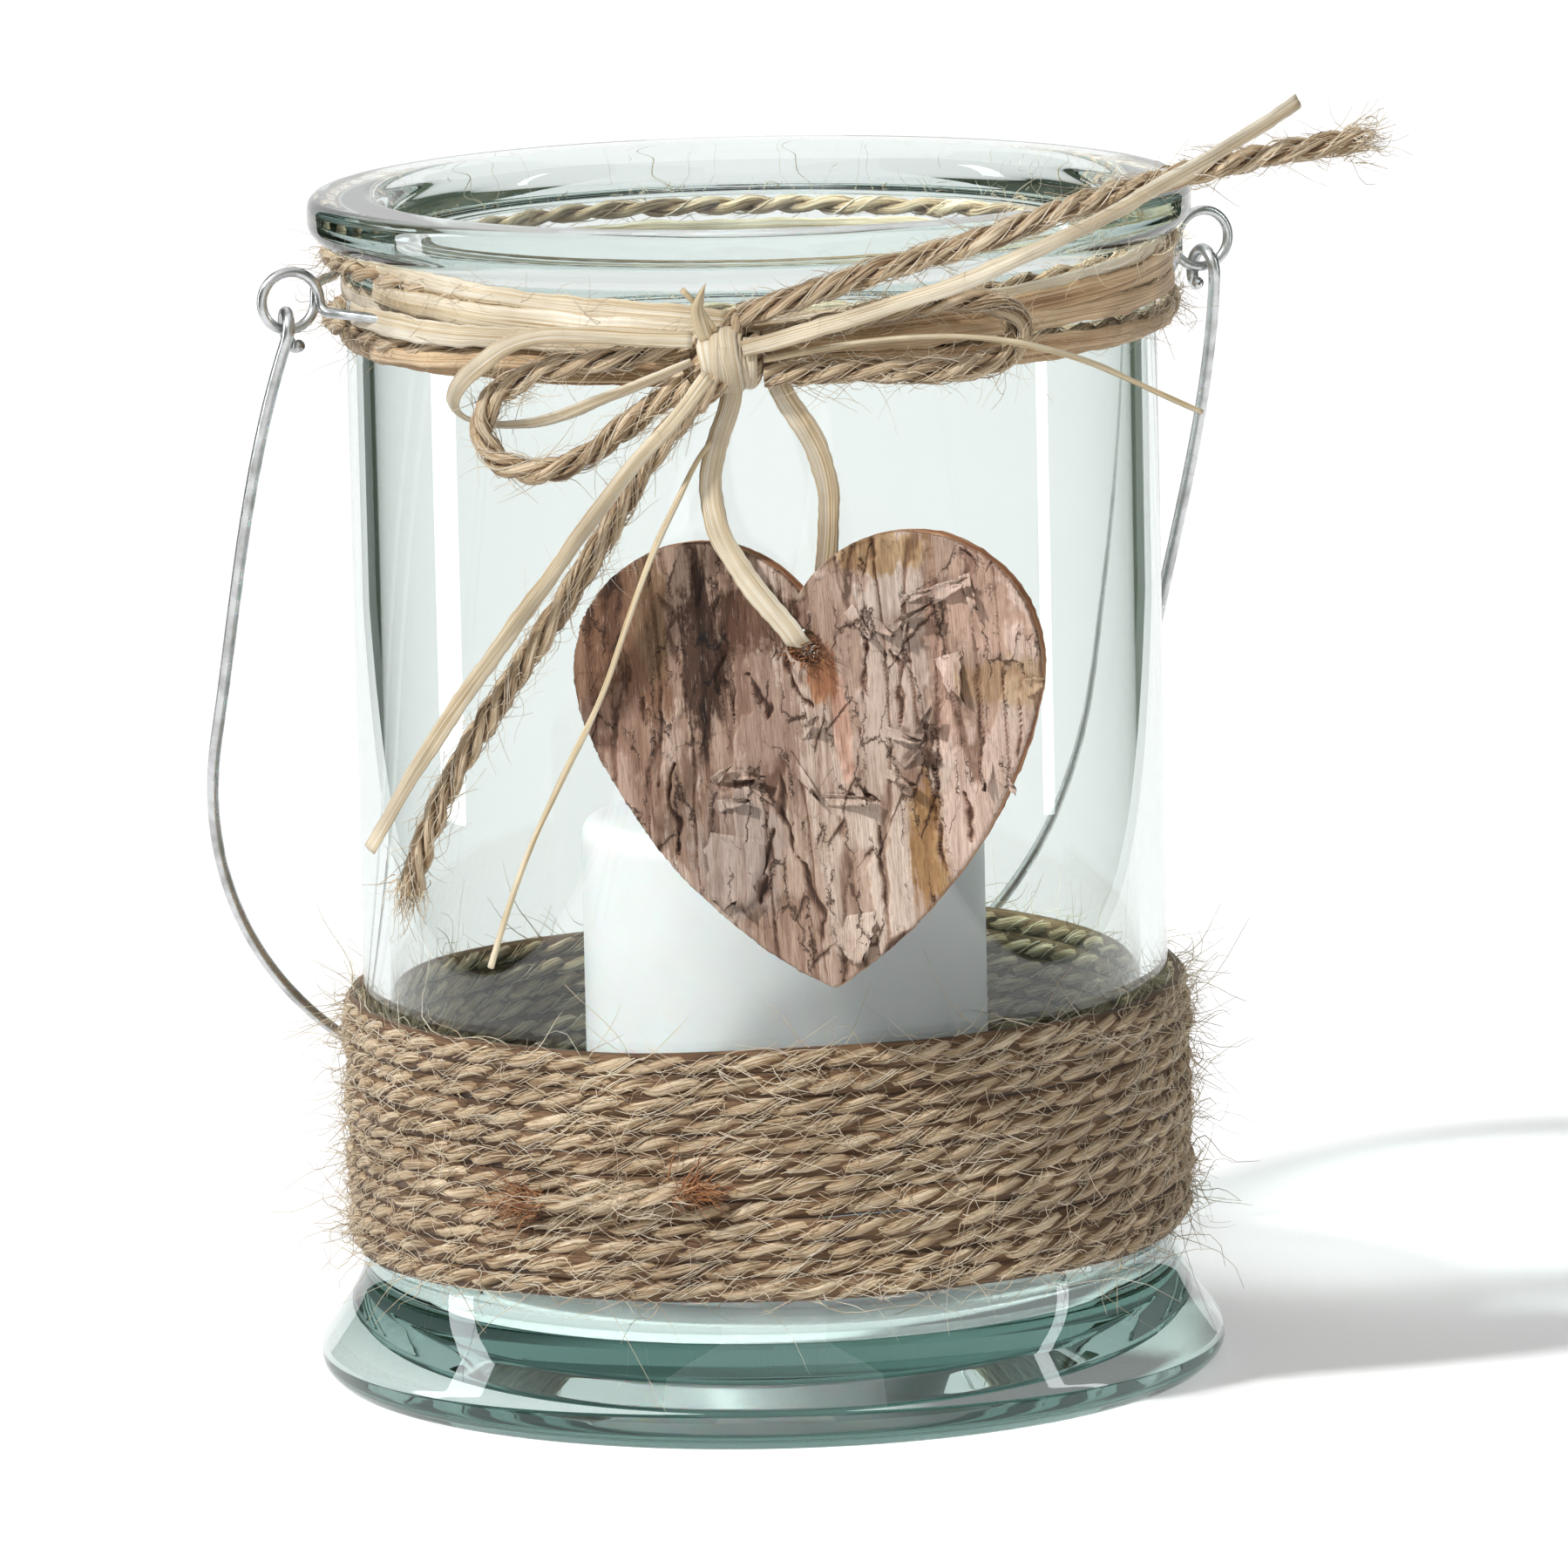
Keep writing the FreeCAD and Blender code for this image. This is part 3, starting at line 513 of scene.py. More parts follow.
def soft_profile(corners):
    """Outline points from (radius, height, rounding) corners, with close rows beside each rounding."""
    corners = np.array(corners, float)
    points = [corners[0, :2]]
    for before, corner, after in zip(corners[:, :2], corners[1:], corners[2:, :2]):
        corner, rounding = corner[:2], corner[2]
        into = unit(corner - before)
        out = unit(after - corner)
        half = math.acos(np.clip(into.dot(out), -1, 1)) / 2
        room = 0.49 * min(norm(corner - before), norm(after - corner))
        cut = min(rounding * math.tan(half), room)
        first = corner - into * cut
        last = corner + out * cut
        beside = min(0.3, cut * 0.4)
        points.append(first - into * beside)
        for t in np.linspace(0, 1, ROUNDING_POINTS):
            points.append(first * (1 - t) ** 2 + corner * 2 * t * (1 - t) + last * t ** 2)
        points.append(last + out * beside)
    points.append(corners[-1, :2])
    return points


# Materials

# Sockets of a mix node that hold its factor, its two colours and the blend
MIX_FACTOR, MIX_FIRST, MIX_SECOND, MIX_RESULT = 0, 6, 7, 2


class Nodes:
    """A node tree under construction."""

    def __init__(self, tree):
        self.tree = tree

    def feed(self, socket, value):
        """Links a socket to another one, or gives it a value of its own."""
        if isinstance(value, bpy.types.NodeSocket):
            self.tree.links.new(value, socket)
        else:
            socket.default_value = (*value, 1) if socket.type == "RGBA" else value

    def node(self, kind, inputs=(), **settings):
        made = self.tree.nodes.new("ShaderNode" + kind)
        for key, value in settings.items():
            setattr(made, key, value)
        for key, value in dict(inputs).items():
            self.feed(made.inputs[key], value)
        return made

    def math(self, operation, *values, **settings):
        made = self.node("Math", enumerate(values), operation=operation, **settings)
        return made.outputs["Value"]

    def vector(self, operation, *values):
        made = self.node("VectorMath", enumerate(values), operation=operation)
        return made.outputs["Value" if operation == "LENGTH" else "Vector"]

    def attribute(self, name, output):
        return self.node("Attribute", attribute_name=name).outputs[output]

    def scaled(self, vector, scale):
        return self.node("Mapping", {"Vector": vector, "Scale": scale}).outputs["Vector"]

    def lay(self, u, v):
        """The map of length and girth, scaled to features per millimetre and per turn."""
        return self.scaled(self.node("UVMap", uv_map="lay").outputs["UV"], (u, v, 1))

    def place(self, scale):
        return self.scaled(self.node("TexCoord").outputs["Object"], scale)

    def noise(self, vector, scale=1.0, detail=2.0, rough=0.55, twist=0.0):
        made = self.node("TexNoise", {
            "Vector": vector, "Scale": scale, "Detail": detail, "Roughness": rough, "Distortion": twist})
        return made.outputs["Fac"]

    def ramp(self, factor, *stops):
        made = self.node("ValToRGB", {"Fac": factor})
        elements = made.color_ramp.elements
        while len(elements) < len(stops):
            elements.new(0.5)
        for element, (at, colour) in zip(elements, stops):
            element.position = at
            element.color = (*colour, 1)
        return made.outputs["Color"]

    def span(self, factor, low, high, to_low=0.0, to_high=1.0):
        inputs = {"Value": factor, "From Min": low, "From Max": high, "To Min": to_low, "To Max": to_high}
        return self.node("MapRange", inputs).outputs["Result"]

    def mix(self, factor, first, second, kind="MIX"):
        inputs = {MIX_FACTOR: factor, MIX_FIRST: first, MIX_SECOND: second}
        made = self.node("Mix", inputs, data_type="RGBA", blend_type=kind)
        return made.outputs[MIX_RESULT]

    def shade(self, colour, factor, *stops):
        """A colour multiplied by a ramp."""
        return self.mix(1.0, colour, self.ramp(factor, *stops), "MULTIPLY")

    def seen_directly(self, otherwise, level):
        """One value for rays from the eye, mirrors and glass, another for light that the scene gives off."""
        rays = self.node("LightPath").outputs
        mirrored = self.math("MAXIMUM", rays["Is Camera Ray"], rays["Is Glossy Ray"])
        direct = self.math("MAXIMUM", mirrored, rays["Is Transmission Ray"])
        straight = self.math("LESS_THAN", rays["Diffuse Depth"], 0.5)
        return self.span(self.math("MULTIPLY", direct, straight), 0.0, 1.0, otherwise, level)


class Paint(Nodes):
    """A node material under construction."""

    def __init__(self, name):
        self.material = bpy.data.materials.new(name)
        self.material.use_nodes = True
        super().__init__(self.material.node_tree)
        self.shader = self.tree.nodes["Principled BSDF"]
        self.output = self.tree.nodes["Material Output"]

    def set(self, **values):
        for key, value in values.items():
            self.feed(self.shader.inputs[key.replace("_", " ")], value)
        return self

    def bump(self, height, strength, depth):
        made = self.node("Bump", {"Height": height, "Strength": strength, "Distance": depth * MM})
        return self.set(Normal=made.outputs["Normal"])

    def clear_where(self, factor, colour=WHITE):
        """Lets rays pass straight through where a factor is 1."""
        clear = self.node("BsdfTransparent", {"Color": colour}).outputs["BSDF"]
        blend = self.node("MixShader", {"Fac": factor, 1: self.shader.outputs["BSDF"], 2: clear})
        self.feed(self.output.inputs["Surface"], blend.outputs["Shader"])
        return self

    def clear_behind(self, walls):
        """Keeps a card out of what is seen through more than so many surfaces of the glass."""
        depth = self.node("LightPath").outputs["Transmission Depth"]
        return self.clear_where(self.math("GREATER_THAN", depth, walls + 0.5))


def fibre_paint(name, dark, mid, light, girths, along=0.35, rough=0.75, relief=0.4):
    """Fine and coarse streaks that run along a strand, over slow changes of tone, with painted shade in the
    rope's grooves.
    """
    paint = Paint(name)
    fine = paint.noise(paint.lay(along, girths), detail=3.0, rough=0.6)
    coarse = paint.noise(paint.lay(along / 3, girths / 5))
    streak = paint.node("Mix", {"Factor": 0.35, "A": fine, "B": coarse}).outputs["Result"]
    colour = paint.ramp(streak, (0.38, dark), (0.48, mid), (0.59, light))
    slow = paint.noise(paint.place((90, 90, 90)))
    colour = paint.shade(colour, slow, (0.3, (0.72, 0.69, 0.66)), (0.65, WHITE))
    # Painted shade: darker where a point lies deep in a groove, between turns or on the core
    crevice_painted_shade = paint.attribute("painted_shade_openness", "Fac")
    colour = paint.shade(colour, crevice_painted_shade, (0.0, (0.27, 0.19, 0.13)), (0.5, (0.8, 0.73, 0.64)), (1.0, WHITE))
    paint.set(Base_Color=colour, Roughness=rough, Sheen_Weight=0.2, Sheen_Roughness=0.5)
    return paint.bump(streak, 0.9, relief).material


JUTE = fibre_paint("jute", (0.13, 0.07, 0.03), (0.58, 0.42, 0.25), (0.95, 0.8, 0.58), 18.0, 0.12, relief=0.6)
JUTE_FUZZ = fibre_paint("jute_fuzz", (0.55, 0.4, 0.24), (0.82, 0.69, 0.49), (0.95, 0.88, 0.74), 1.0, 0.1)
RUSTY = fibre_paint("rusty_fibre", (0.11, 0.03, 0.008), (0.36, 0.13, 0.035), (0.58, 0.29, 0.12), 1.0, 0.1)
RAFFIA = fibre_paint("raffia", (0.50, 0.35, 0.17), (0.80, 0.67, 0.46), (0.93, 0.86, 0.71), 12.0, 0.03, 0.5)
STRAW_PAINT = fibre_paint(
    "straw", (0.55, 0.39, 0.19), (0.82, 0.68, 0.44), (0.9, 0.81, 0.62), 6.0, 0.05, 0.45)
# A darker, redder raffia for the lower neck piece; on the strips right of the knot it is painted shade
RAFFIA_BROWN_AND_PAINTED_SHADE = fibre_paint(
    "raffia_brown_and_painted_shade", (0.3, 0.15, 0.06), (0.62, 0.4, 0.2), (0.86, 0.66, 0.42), 12.0, 0.03, 0.55)
WICK = fibre_paint("cotton_wick", (0.5, 0.45, 0.38), (0.74, 0.7, 0.62), (0.86, 0.84, 0.78), 6.0)


def glass_paint():
    paint = Paint("clear_glass")
    paint.set(Base_Color=(0.97, 0.985, 0.975), Roughness=0.0, IOR=1.5, Transmission_Weight=1.0)
    paint.bump(paint.noise(paint.place((22, 22, 6)), detail=1.5), 0.05, 1.2)
    paint.clear_where(paint.node("LightPath").outputs["Is Shadow Ray"], (0.94, 0.96, 0.95))
    body = paint.node("VolumeAbsorption", {"Color": (0.57, 0.70, 0.68), "Density": 38.0})
    paint.feed(paint.output.inputs["Volume"], body.outputs["Volume"])
    return paint.material


def wax_paint():
    paint = Paint("white_wax")
    cloud = paint.noise(paint.place((60, 60, 40)), detail=3.0)
    colour = paint.ramp(cloud, (0.35, (0.68, 0.672, 0.685)), (0.65, (0.735, 0.725, 0.745)))
    paint.set(Base_Color=colour, Roughness=0.42, Subsurface_Weight=0.5, Subsurface_Scale=0.006)
    return paint.bump(paint.noise(paint.place((500, 500, 300))), 0.12, 0.2).material


def wire_paint():
    paint = Paint("zinc_wire")
    stain = paint.noise(paint.place((260, 260, 260)), detail=4.0)
    colour = paint.ramp(stain, (0.3, (0.40, 0.40, 0.39)), (0.6, (0.66, 0.67, 0.68)))
    paint.set(Base_Color=colour, Roughness=paint.span(stain, 0.3, 0.7, 0.42, 0.2), Metallic=1.0)
    return paint.bump(paint.noise(paint.lay(0.4, 14.0)), 0.15, 0.05).material


# Glass jar and candle

lathe(soft_profile([
    (0.4, 2.5, 0), (44, 2.5, 6), (50, 0, 4), (65.4, 0, 2.5), (67.6, 2.2, 3), (67.6, 5, 3),
    (60, 16, 22), (60, 169.9, 1.2), (63, 169.9, 2.4), (65.4, 172.3, 3), (65.4, 177.3, 3.6),
    (56, 177.3, 3), (53, 174.3, 4), (53, 169.9, 9), (56, 159.3, 9), (56, 16.5, 6), (51, 11.5, 6),
    (0.4, 11.5, 0),
]), segments=192).piece("glass", "jar", glass_paint(), "glass", ["glass_jar"])

candle_top = CANDLE_BASE + CANDLE_HEIGHT
lathe(soft_profile([
    (0.4, CANDLE_BASE, 0), (CANDLE_RADIUS, CANDLE_BASE, 1), (CANDLE_RADIUS, candle_top, 3.2),
    (20, candle_top - 0.3, 8), (6, candle_top - 0.9, 8), (0.4, candle_top - 0.7, 0),
]), segments=128, shift=CANDLE_SHIFT).piece("wax", "candle", wax_paint(), "wax", ["candle"])

wick = spline_strand([
    (CANDLE_SHIFT, 0, candle_top - 12), (CANDLE_SHIFT, 0, candle_top - 1),
    (CANDLE_SHIFT + 0.3, 0.1, candle_top + 4), (CANDLE_SHIFT + 0.9, 0.3, candle_top + 7),
], 0.4)
rope(Shell(), wick, 1.8, plies=3, pitch=4.0, seed=3).piece("wick", "candle", WICK, "wick", ["candle_wick"])


# Wire

REAR = 90 + EAR_TURN
EAR_LEAN = math.degrees(math.acos(HOOP_RADIUS / EAR_REACH))


def across(azimuth, out, along, height):
    """A point given outward from, along and above the hoop at an azimuth in degrees."""
    c = math.cos(math.radians(azimuth))
    s = math.sin(math.radians(azimuth))
    return np.array([out * c - along * s, out * s + along * c, height])


def flowing(stations):
    """A smooth line through (point, direction) stations."""
    line = []
    for (start, leave), (end, arrive) in zip(stations, stations[1:]):
        leave = unit(leave)
        arrive = unit(arrive)
        turn = math.acos(np.clip(leave.dot(arrive), -1, 1))
        reach = norm(end - start) / max(math.cos(turn / 4) ** 2, 0.3)
        t = np.linspace(0, 1, STATION_POINTS, endpoint=False)[:, None]
        line.append((2 * t ** 3 - 3 * t ** 2 + 1) * start + (t ** 3 - 2 * t ** 2 + t) * reach * leave
                    + (3 * t ** 2 - 2 * t ** 3) * end + (t ** 3 - t ** 2) * reach * arrive)
    line.append(stations[-1][0][None])
    return Strand(*even(np.concatenate(line), WIRE_STEP), UP)


def hoop_station(azimuth, height):
    return across(azimuth, HOOP_RADIUS, 0, height), across(azimuth, 0, 1, 0)


def hoop_arc(start, end, height):
    count = max(2, math.ceil((end - start) / HOOP_STATION))
    return [hoop_station(azimuth, height) for azimuth in np.linspace(start, end, count)]


def ear_stations(azimuth, sense, arrive_height, leave_height):
    """The wire's way out from the hoop, once round the ear and back."""
    first = -EAR_LEAD / 4 if sense < 0 else -3 * EAR_LEAD / 4
    slope = EAR_LEAD / (TURN * EAR_RADIUS)
    out_in = math.sin(math.radians(EAR_LEAN))
    along_in = math.cos(math.radians(EAR_LEAN))

    def bend(way, along):
        point = across(azimuth, EAR_REACH - EAR_BEND * out_in, along + way * EAR_BEND * along_in,
                       EAR_HEIGHT + way * sense * EAR_BEND)
        return point, across(azimuth, -way * out_in, along_in, 0)

    stations = [hoop_station(azimuth - EAR_LEAN, arrive_height), bend(-1, first)]
    for quarter in range(5):
        angle = math.pi / 2 * quarter
        out = EAR_REACH + EAR_RADIUS * (1 - math.cos(angle))
        height = EAR_HEIGHT + sense * EAR_RADIUS * math.sin(angle)
        stations.append((across(azimuth, out, first + EAR_LEAD * quarter / 4, height),
                         across(azimuth, math.sin(angle), slope, sense * math.cos(angle))))
    return stations + [bend(1, first + EAR_LEAD), hoop_station(azimuth + EAR_LEAN, leave_height)]


def neck_hoop():
    left = 180 + EAR_TURN
    right = 360 + EAR_TURN
    stations = hoop_arc(REAR + HOOP_GAP, left - EAR_LEAN, HOOP_REAR)[:-1]
    stations += ear_stations(left, -1, HOOP_REAR, HOOP_FRONT)
    stations += hoop_arc(left + EAR_LEAN, right - EAR_LEAN, HOOP_FRONT)[1:-1]
    stations += ear_stations(right, 1, HOOP_FRONT, HOOP_REAR)
    stations += hoop_arc(right + EAR_LEAN, REAR + 360 - HOOP_GAP, HOOP_REAR)[1:]
    return flowing(stations)


def bail():
    ear_line = across(EAR_TURN, 1, 0, 0)
    rear = across(EAR_TURN, 0, 1, 0)
    down = rear * math.sin(BAIL_LEAN) - UP * math.cos(BAIL_LEAN)
    normal = rear * math.cos(BAIL_LEAN) + UP * math.sin(BAIL_LEAN)
    pivot = UP * (EAR_HEIGHT - EAR_RADIUS)
    ear_out = EAR_REACH + EAR_RADIUS

    def spot(out, off, drop):
        return ear_line * out + normal * off + down * drop

    def eye_stations(side):
        stations = []
        for a in np.radians((330, 270, 180, 90, 0)):
            out = ear_out + BAIL_LEAD / 2 - BAIL_LEAD * a / TURN
            stations.append((pivot + spot(side * out, -BAIL_EYE * math.cos(a), -BAIL_EYE * math.sin(a)),
                             spot(side * BAIL_LEAD / TURN, -BAIL_EYE * math.sin(a), BAIL_EYE * math.cos(a))))
        return stations

    bow = []
    for a in np.radians((180, 150, 120, 90, 60, 30, 0)):
        bow.append((pivot + spot(BAIL_BOW * math.cos(a), -BAIL_EYE, BAIL_LEG + BAIL_BOW * math.sin(a)),
                    spot(math.sin(a), 0, -math.cos(a))))
    right = [(point, -way) for point, way in reversed(eye_stations(1))]
    return flowing(eye_stations(-1) + bow + right)


ZINC = wire_paint()
tube(Shell(), neck_hoop(), NECK_WIRE / 2).piece("hoop_wire", "jar", ZINC, "wire", ["neck_hoop"])
tube(Shell(), bail(), BAIL_WIRE / 2).piece("bail_wire", "bail", ZINC, "wire", ["bail_handle"])


# Twine round the jar


def band_strand():
    radius = BODY_RADIUS + LAY_GAP + BAND_TWINE / 2
    turns = np.linspace(0, BAND_TURNS, BAND_TURNS * BAND_STEPS)
    s = turns * TURN * radius
    slack = BAND_WANDER * wobble(s, 55.0, 5) * np.minimum(1, 6 * np.minimum(turns, BAND_TURNS - turns))
    bulge = radius + BAND_BULGE + BAND_WANDER * wobble(s, 40.0, 6)
    height = BAND_FIRST + BAND_PITCH * turns + slack
    return round_neck(bulge, height, REAR, REAR + 360 * BAND_TURNS, TURN * BODY_RADIUS / BAND_STEPS)


band = band_strand()
rope(Shell(), band, BAND_ROPE, plies=2, pitch=BAND_LAY, seed=40, core=1.38).piece(
    "band", "jar", JUTE, "jute", ["band_twine"])
yarns(Shell(), band, BAND_ROPE, BAND_LAY, count=5, seed=42, thick=0.1).piece(
    "band_yarns", "jar", JUTE_FUZZ, "jute")
band_hair = fibres(Shell(), band, BAND_ROPE / 2, count=4000, length=5.4, seed=41, spread=1.4, thick=0.09)
for rows, seed in (((0, 1 / BAND_TURNS), 43), ((1 - 1 / BAND_TURNS, 1), 49)):
    fibres(band_hair, band, BAND_ROPE / 2, count=320, length=7.0, seed=seed, spread=2.2, thick=0.095,
           stand=1.6, rows=rows)
band_hair.piece("band_fuzz", "jar", JUTE_FUZZ, "jute")

band_end = spline_strand(BAND_END, TWINE_STEP)
rope(Shell(), band_end, BAND_TWINE, plies=2, pitch=BAND_LAY, seed=44, taper=2.0).piece(
    "band_end", "jar", JUTE, "jute", ["band_twine_end"])
fibres(Shell(), band_end, BAND_TWINE / 2, count=60, length=5.0, seed=45, spread=1.5, thick=0.085).piece(
    "band_end_fuzz", "jar", JUTE_FUZZ, "jute")
rusty = Shell()
fray(rusty, band_end, 3, -1, count=130, length=5.4, seed=46, spread=0.34, radius=2.0, thick=0.15)
fray(rusty, band_end, -4, 1, count=110, length=4.8, seed=47, spread=0.38, radius=1.9, thick=0.15)
rusty.piece("band_end_frays", "jar", RUSTY, "jute")

knot_azimuth = math.degrees(math.atan2(KNOT[1], KNOT[0])) % 360
neck_start = knot_azimuth + KNOT_OPENING / 2
neck_end = knot_azimuth + 360 - KNOT_OPENING / 2
neck_radius = BODY_RADIUS + LAY_GAP + NECK_TWINE / 2 + NECK_EASE
for name, height, drop, seed in (
    ("neck_twine_lower", 159.0, -1.2, 51),
    ("neck_twine_upper", 168.3, 4.6, 61),
):
    strand = round_neck(neck_radius, height, neck_start, neck_end, NECK_STEP)
    near_knot = np.clip(1 - np.minimum(strand.s, strand.s[-1] - strand.s) / NECK_DIP_REACH, 0, 1)
    strand.line[:, 2] += 0.35 * wobble(strand.s, 70.0, seed) - drop * near_knot ** 1.5
    rope(Shell(), strand, NECK_TWINE, plies=2, pitch=NECK_LAY, seed=seed).piece(
        name + "_rope", "jar", JUTE, "jute", [name])
    hair = yarns(Shell(), strand, NECK_TWINE, NECK_LAY, count=3, seed=seed + 2, thick=0.11)
    fibres(hair, strand, NECK_TWINE / 2, count=620, length=4.6, seed=seed + 1, spread=1.4, thick=0.075)
    hair.piece(name + "_fuzz", "jar", JUTE_FUZZ, "jute")


def neck_ribbons(seed, strips):
    """Raffia round the neck: each strip is start, end, heights and lifts off the glass there, and width."""
    shell = Shell()
    for start, end, low, high, lift, last_lift, width in strips:
        seed += 7
        t = np.linspace(0, 1, arc_points(start, end, RIBBON_STEP))
        grow = t ** 0.45 if last_lift > lift else 1 - (1 - t) ** 0.45
        radius = BODY_RADIUS + LAY_GAP + 0.3 + lift + (last_lift - lift) * grow
        strand = round_neck(radius, low + (high - low) * t, start, end, RIBBON_STEP)
        strand.line[:, 2] += 0.3 * wobble(strand.s, 45.0, seed)
        uneven = width * (1 + 0.15 * wobble(strand.s, 18.0, seed + 1))
        roll = 0.1 * wobble(strand.s, 25.0, seed + 2)
        ribbon(shell, strand, uneven, thick=0.28, roll=roll, crease=0.16, seed=seed)
    return shell


neck_ribbons(80, [
    (neck_start, neck_end, 164.6, 163.6, 0.0, 0.0, 3.6),
    (203, knot_azimuth, 170.6, 164.8, 0.4, 4.6, 3.4),
    (206, knot_azimuth, 166.2, 163.0, 0.6, 5.2, 4.0),
    (201.6, knot_azimuth, 162.5, 161.6, 2.5, 5.6, 3.4),
    (knot_azimuth, 362, 163.8, 170.4, 4.6, 0.4, 2.6),
]).piece("neck_raffia_upper_strips", "jar", RAFFIA, "raffia", ["neck_raffia_upper"])
neck_ribbons(160, [
    (neck_start, neck_end, 156.8, 156.4, 0.0, 0.0, 2.4),
    (204, knot_azimuth, 157.0, 159.8, 0.4, 4.8, 2.6),
    # These strips right of the knot are darker brown as painted shade on the jar's right side
    (knot_azimuth, 363, 159.4, 157.4, 5.0, 0.4, 2.6),
    (knot_azimuth, 366, 162.4, 167.4, 5.2, 0.4, 3.8),
    (knot_azimuth, 364, 161.0, 163.6, 5.6, 0.4, 3.0),
]).piece("neck_raffia_lower_strips", "jar", RAFFIA_BROWN_AND_PAINTED_SHADE, "raffia", ["neck_raffia_lower"])


# Bow


for i, (name, points) in enumerate(TWINE_CORDS.items()):
    seed = 100 + 10 * i
    strand = spline_strand(points, TWINE_STEP)
    cord = rope(Shell(), strand, BOW_TWINE, plies=3, pitch=BOW_LAY, seed=seed, sides=8).piece(
        name + "_rope", "jar", JUTE, "jute", [name])
    hair = yarns(Shell(), strand, BOW_TWINE, BOW_LAY, count=5, seed=seed + 3, thick=0.12)
    fibres(hair, strand, BOW_TWINE / 2, count=340, length=4.4, seed=seed + 1, thick=0.075)
    if "tail" in name:
        fray(hair, strand, -3, 1, count=90, length=4.5, seed=seed + 2, spread=0.22, radius=2.8, thick=0.12)
    fuzz = hair.piece(name + "_fuzz", "jar", JUTE_FUZZ, "jute")

for i, (name, points) in enumerate(RAFFIA_STRIPS.items()):
    seed = 150 + 10 * i
    strand = spline_strand(points, STRIP_STEP)
    width = RAFFIA_WIDE * (1 + 0.12 * wobble(strand.s, 28.0, seed))
    roll = 0.55 * wobble(strand.s, 60.0, seed + 1)
    strip = ribbon(Shell(), strand, width, thick=0.3, roll=roll, crease=0.35, seed=seed).piece(
        name + "_strip", "jar", RAFFIA, "raffia", [name])

for i, (name, points) in enumerate(RAFFIA_STRAWS.items()):
    seed = 190 + 10 * i
    strand = spline_strand(points, STRAW_STEP)
    straw = tube(Shell(), strand, STRAW / 2 * (1 + 0.12 * wobble(strand.s, 14.0, seed)), sides=8)
    if name == "raffia_stub":
        leaf = spline_strand(STUB_LEAF, 0.5)
        width = 2.4 * np.sin(np.linspace(1.0, math.pi - 0.05, len(leaf.s)))
        ribbon(straw, leaf, width, thick=0.3, roll=0.3, crease=0.3, seed=seed)
    body = "pendant" if name == "sling_tail" else "jar"
    straw = straw.piece(name + "_straw", body, STRAW_PAINT, "raffia", [name])

sling = spline_strand(SLING, TWINE_STEP)
hole_at = np.argmax(sling.along[:, 1])
bend = np.pi * np.clip((np.arange(len(sling.s)) - hole_at + SLING_BEND) / (2 * SLING_BEND), 0, 1)
sling.faced(np.stack([np.zeros_like(bend), -np.cos(bend), -np.sin(bend)], 1))
width = SLING_WIDE * (1 + 0.08 * wobble(sling.s, 25.0, 231))
roll = 0.2 * wobble(sling.s, 40.0, 232)
sling_strip = ribbon(Shell(), sling, width, thick=0.4, roll=roll, crease=0.45, seed=233).piece(
    "sling_strip", "pendant", RAFFIA, "raffia", ["pendant_sling"])


def knot_wrap(start, end, turns, reach, phase):
    """A line wound round the knot's X axis."""
    t = np.linspace(0, 1, round(WRAP_POINTS * turns))
    angle = TURN * turns * t + phase
    out = np.stack([np.zeros_like(t), np.cos(angle), np.sin(angle)], 1)
    shift = start + (end - start) * t
    line = KNOT + (reach * (1 - 0.16 * np.abs(shift) / KNOT_HALF))[:, None] * out
    line[:, 0] += shift + 0.25 * np.sin(2 * angle)
    return Strand(line, lengths(line)).faced(out)


knot_core = Shell()
for i, (start, end, thick) in enumerate([
    ((-5.4, 0.2, 0), (5.2, 0.2, 0), 8.2), ((0.6, -1.4, -0.6), (-5.4, -4.2, -6.4), 4.2),
    ((-0.6, 0.2, 1.4), (2.4, -1.0, 6.8), 4.2),
]):
    line = np.linspace(KNOT + start, KNOT + end, KNOT_POINTS)
    strand = Strand(line, np.linspace(0, norm(line[-1] - line[0]), KNOT_POINTS))
    rope(knot_core, strand, thick, plies=3, pitch=18.0, seed=241 + i, sides=14, taper=1.2)
knot_core.piece("knot_core", "jar", JUTE, "jute", ["bow_knot"])
wraps = Shell()
for i, (start, end, turns, reach, phase, width) in enumerate([
    (-3.6, 2.8, 3.2, 4.4, 0.4, 2.7), (3.4, -2.6, 2.7, 4.6, 2.2, 2.3), (-1.0, 1.8, 1.6, 4.9, 4.0, 2.6),
]):
    strand = knot_wrap(start, end, turns, reach, phase)
    uneven = width * (1 + 0.1 * wobble(strand.s, 9.0, 250 + i))
    ribbon(wraps, strand, uneven, thick=0.3, roll=0.0, crease=0.22, seed=251 + i)
wraps.piece("knot_wraps", "jar", RAFFIA, "raffia")


# Heart

FACE_DEPTH = HEART_CORE + HEART_BARK

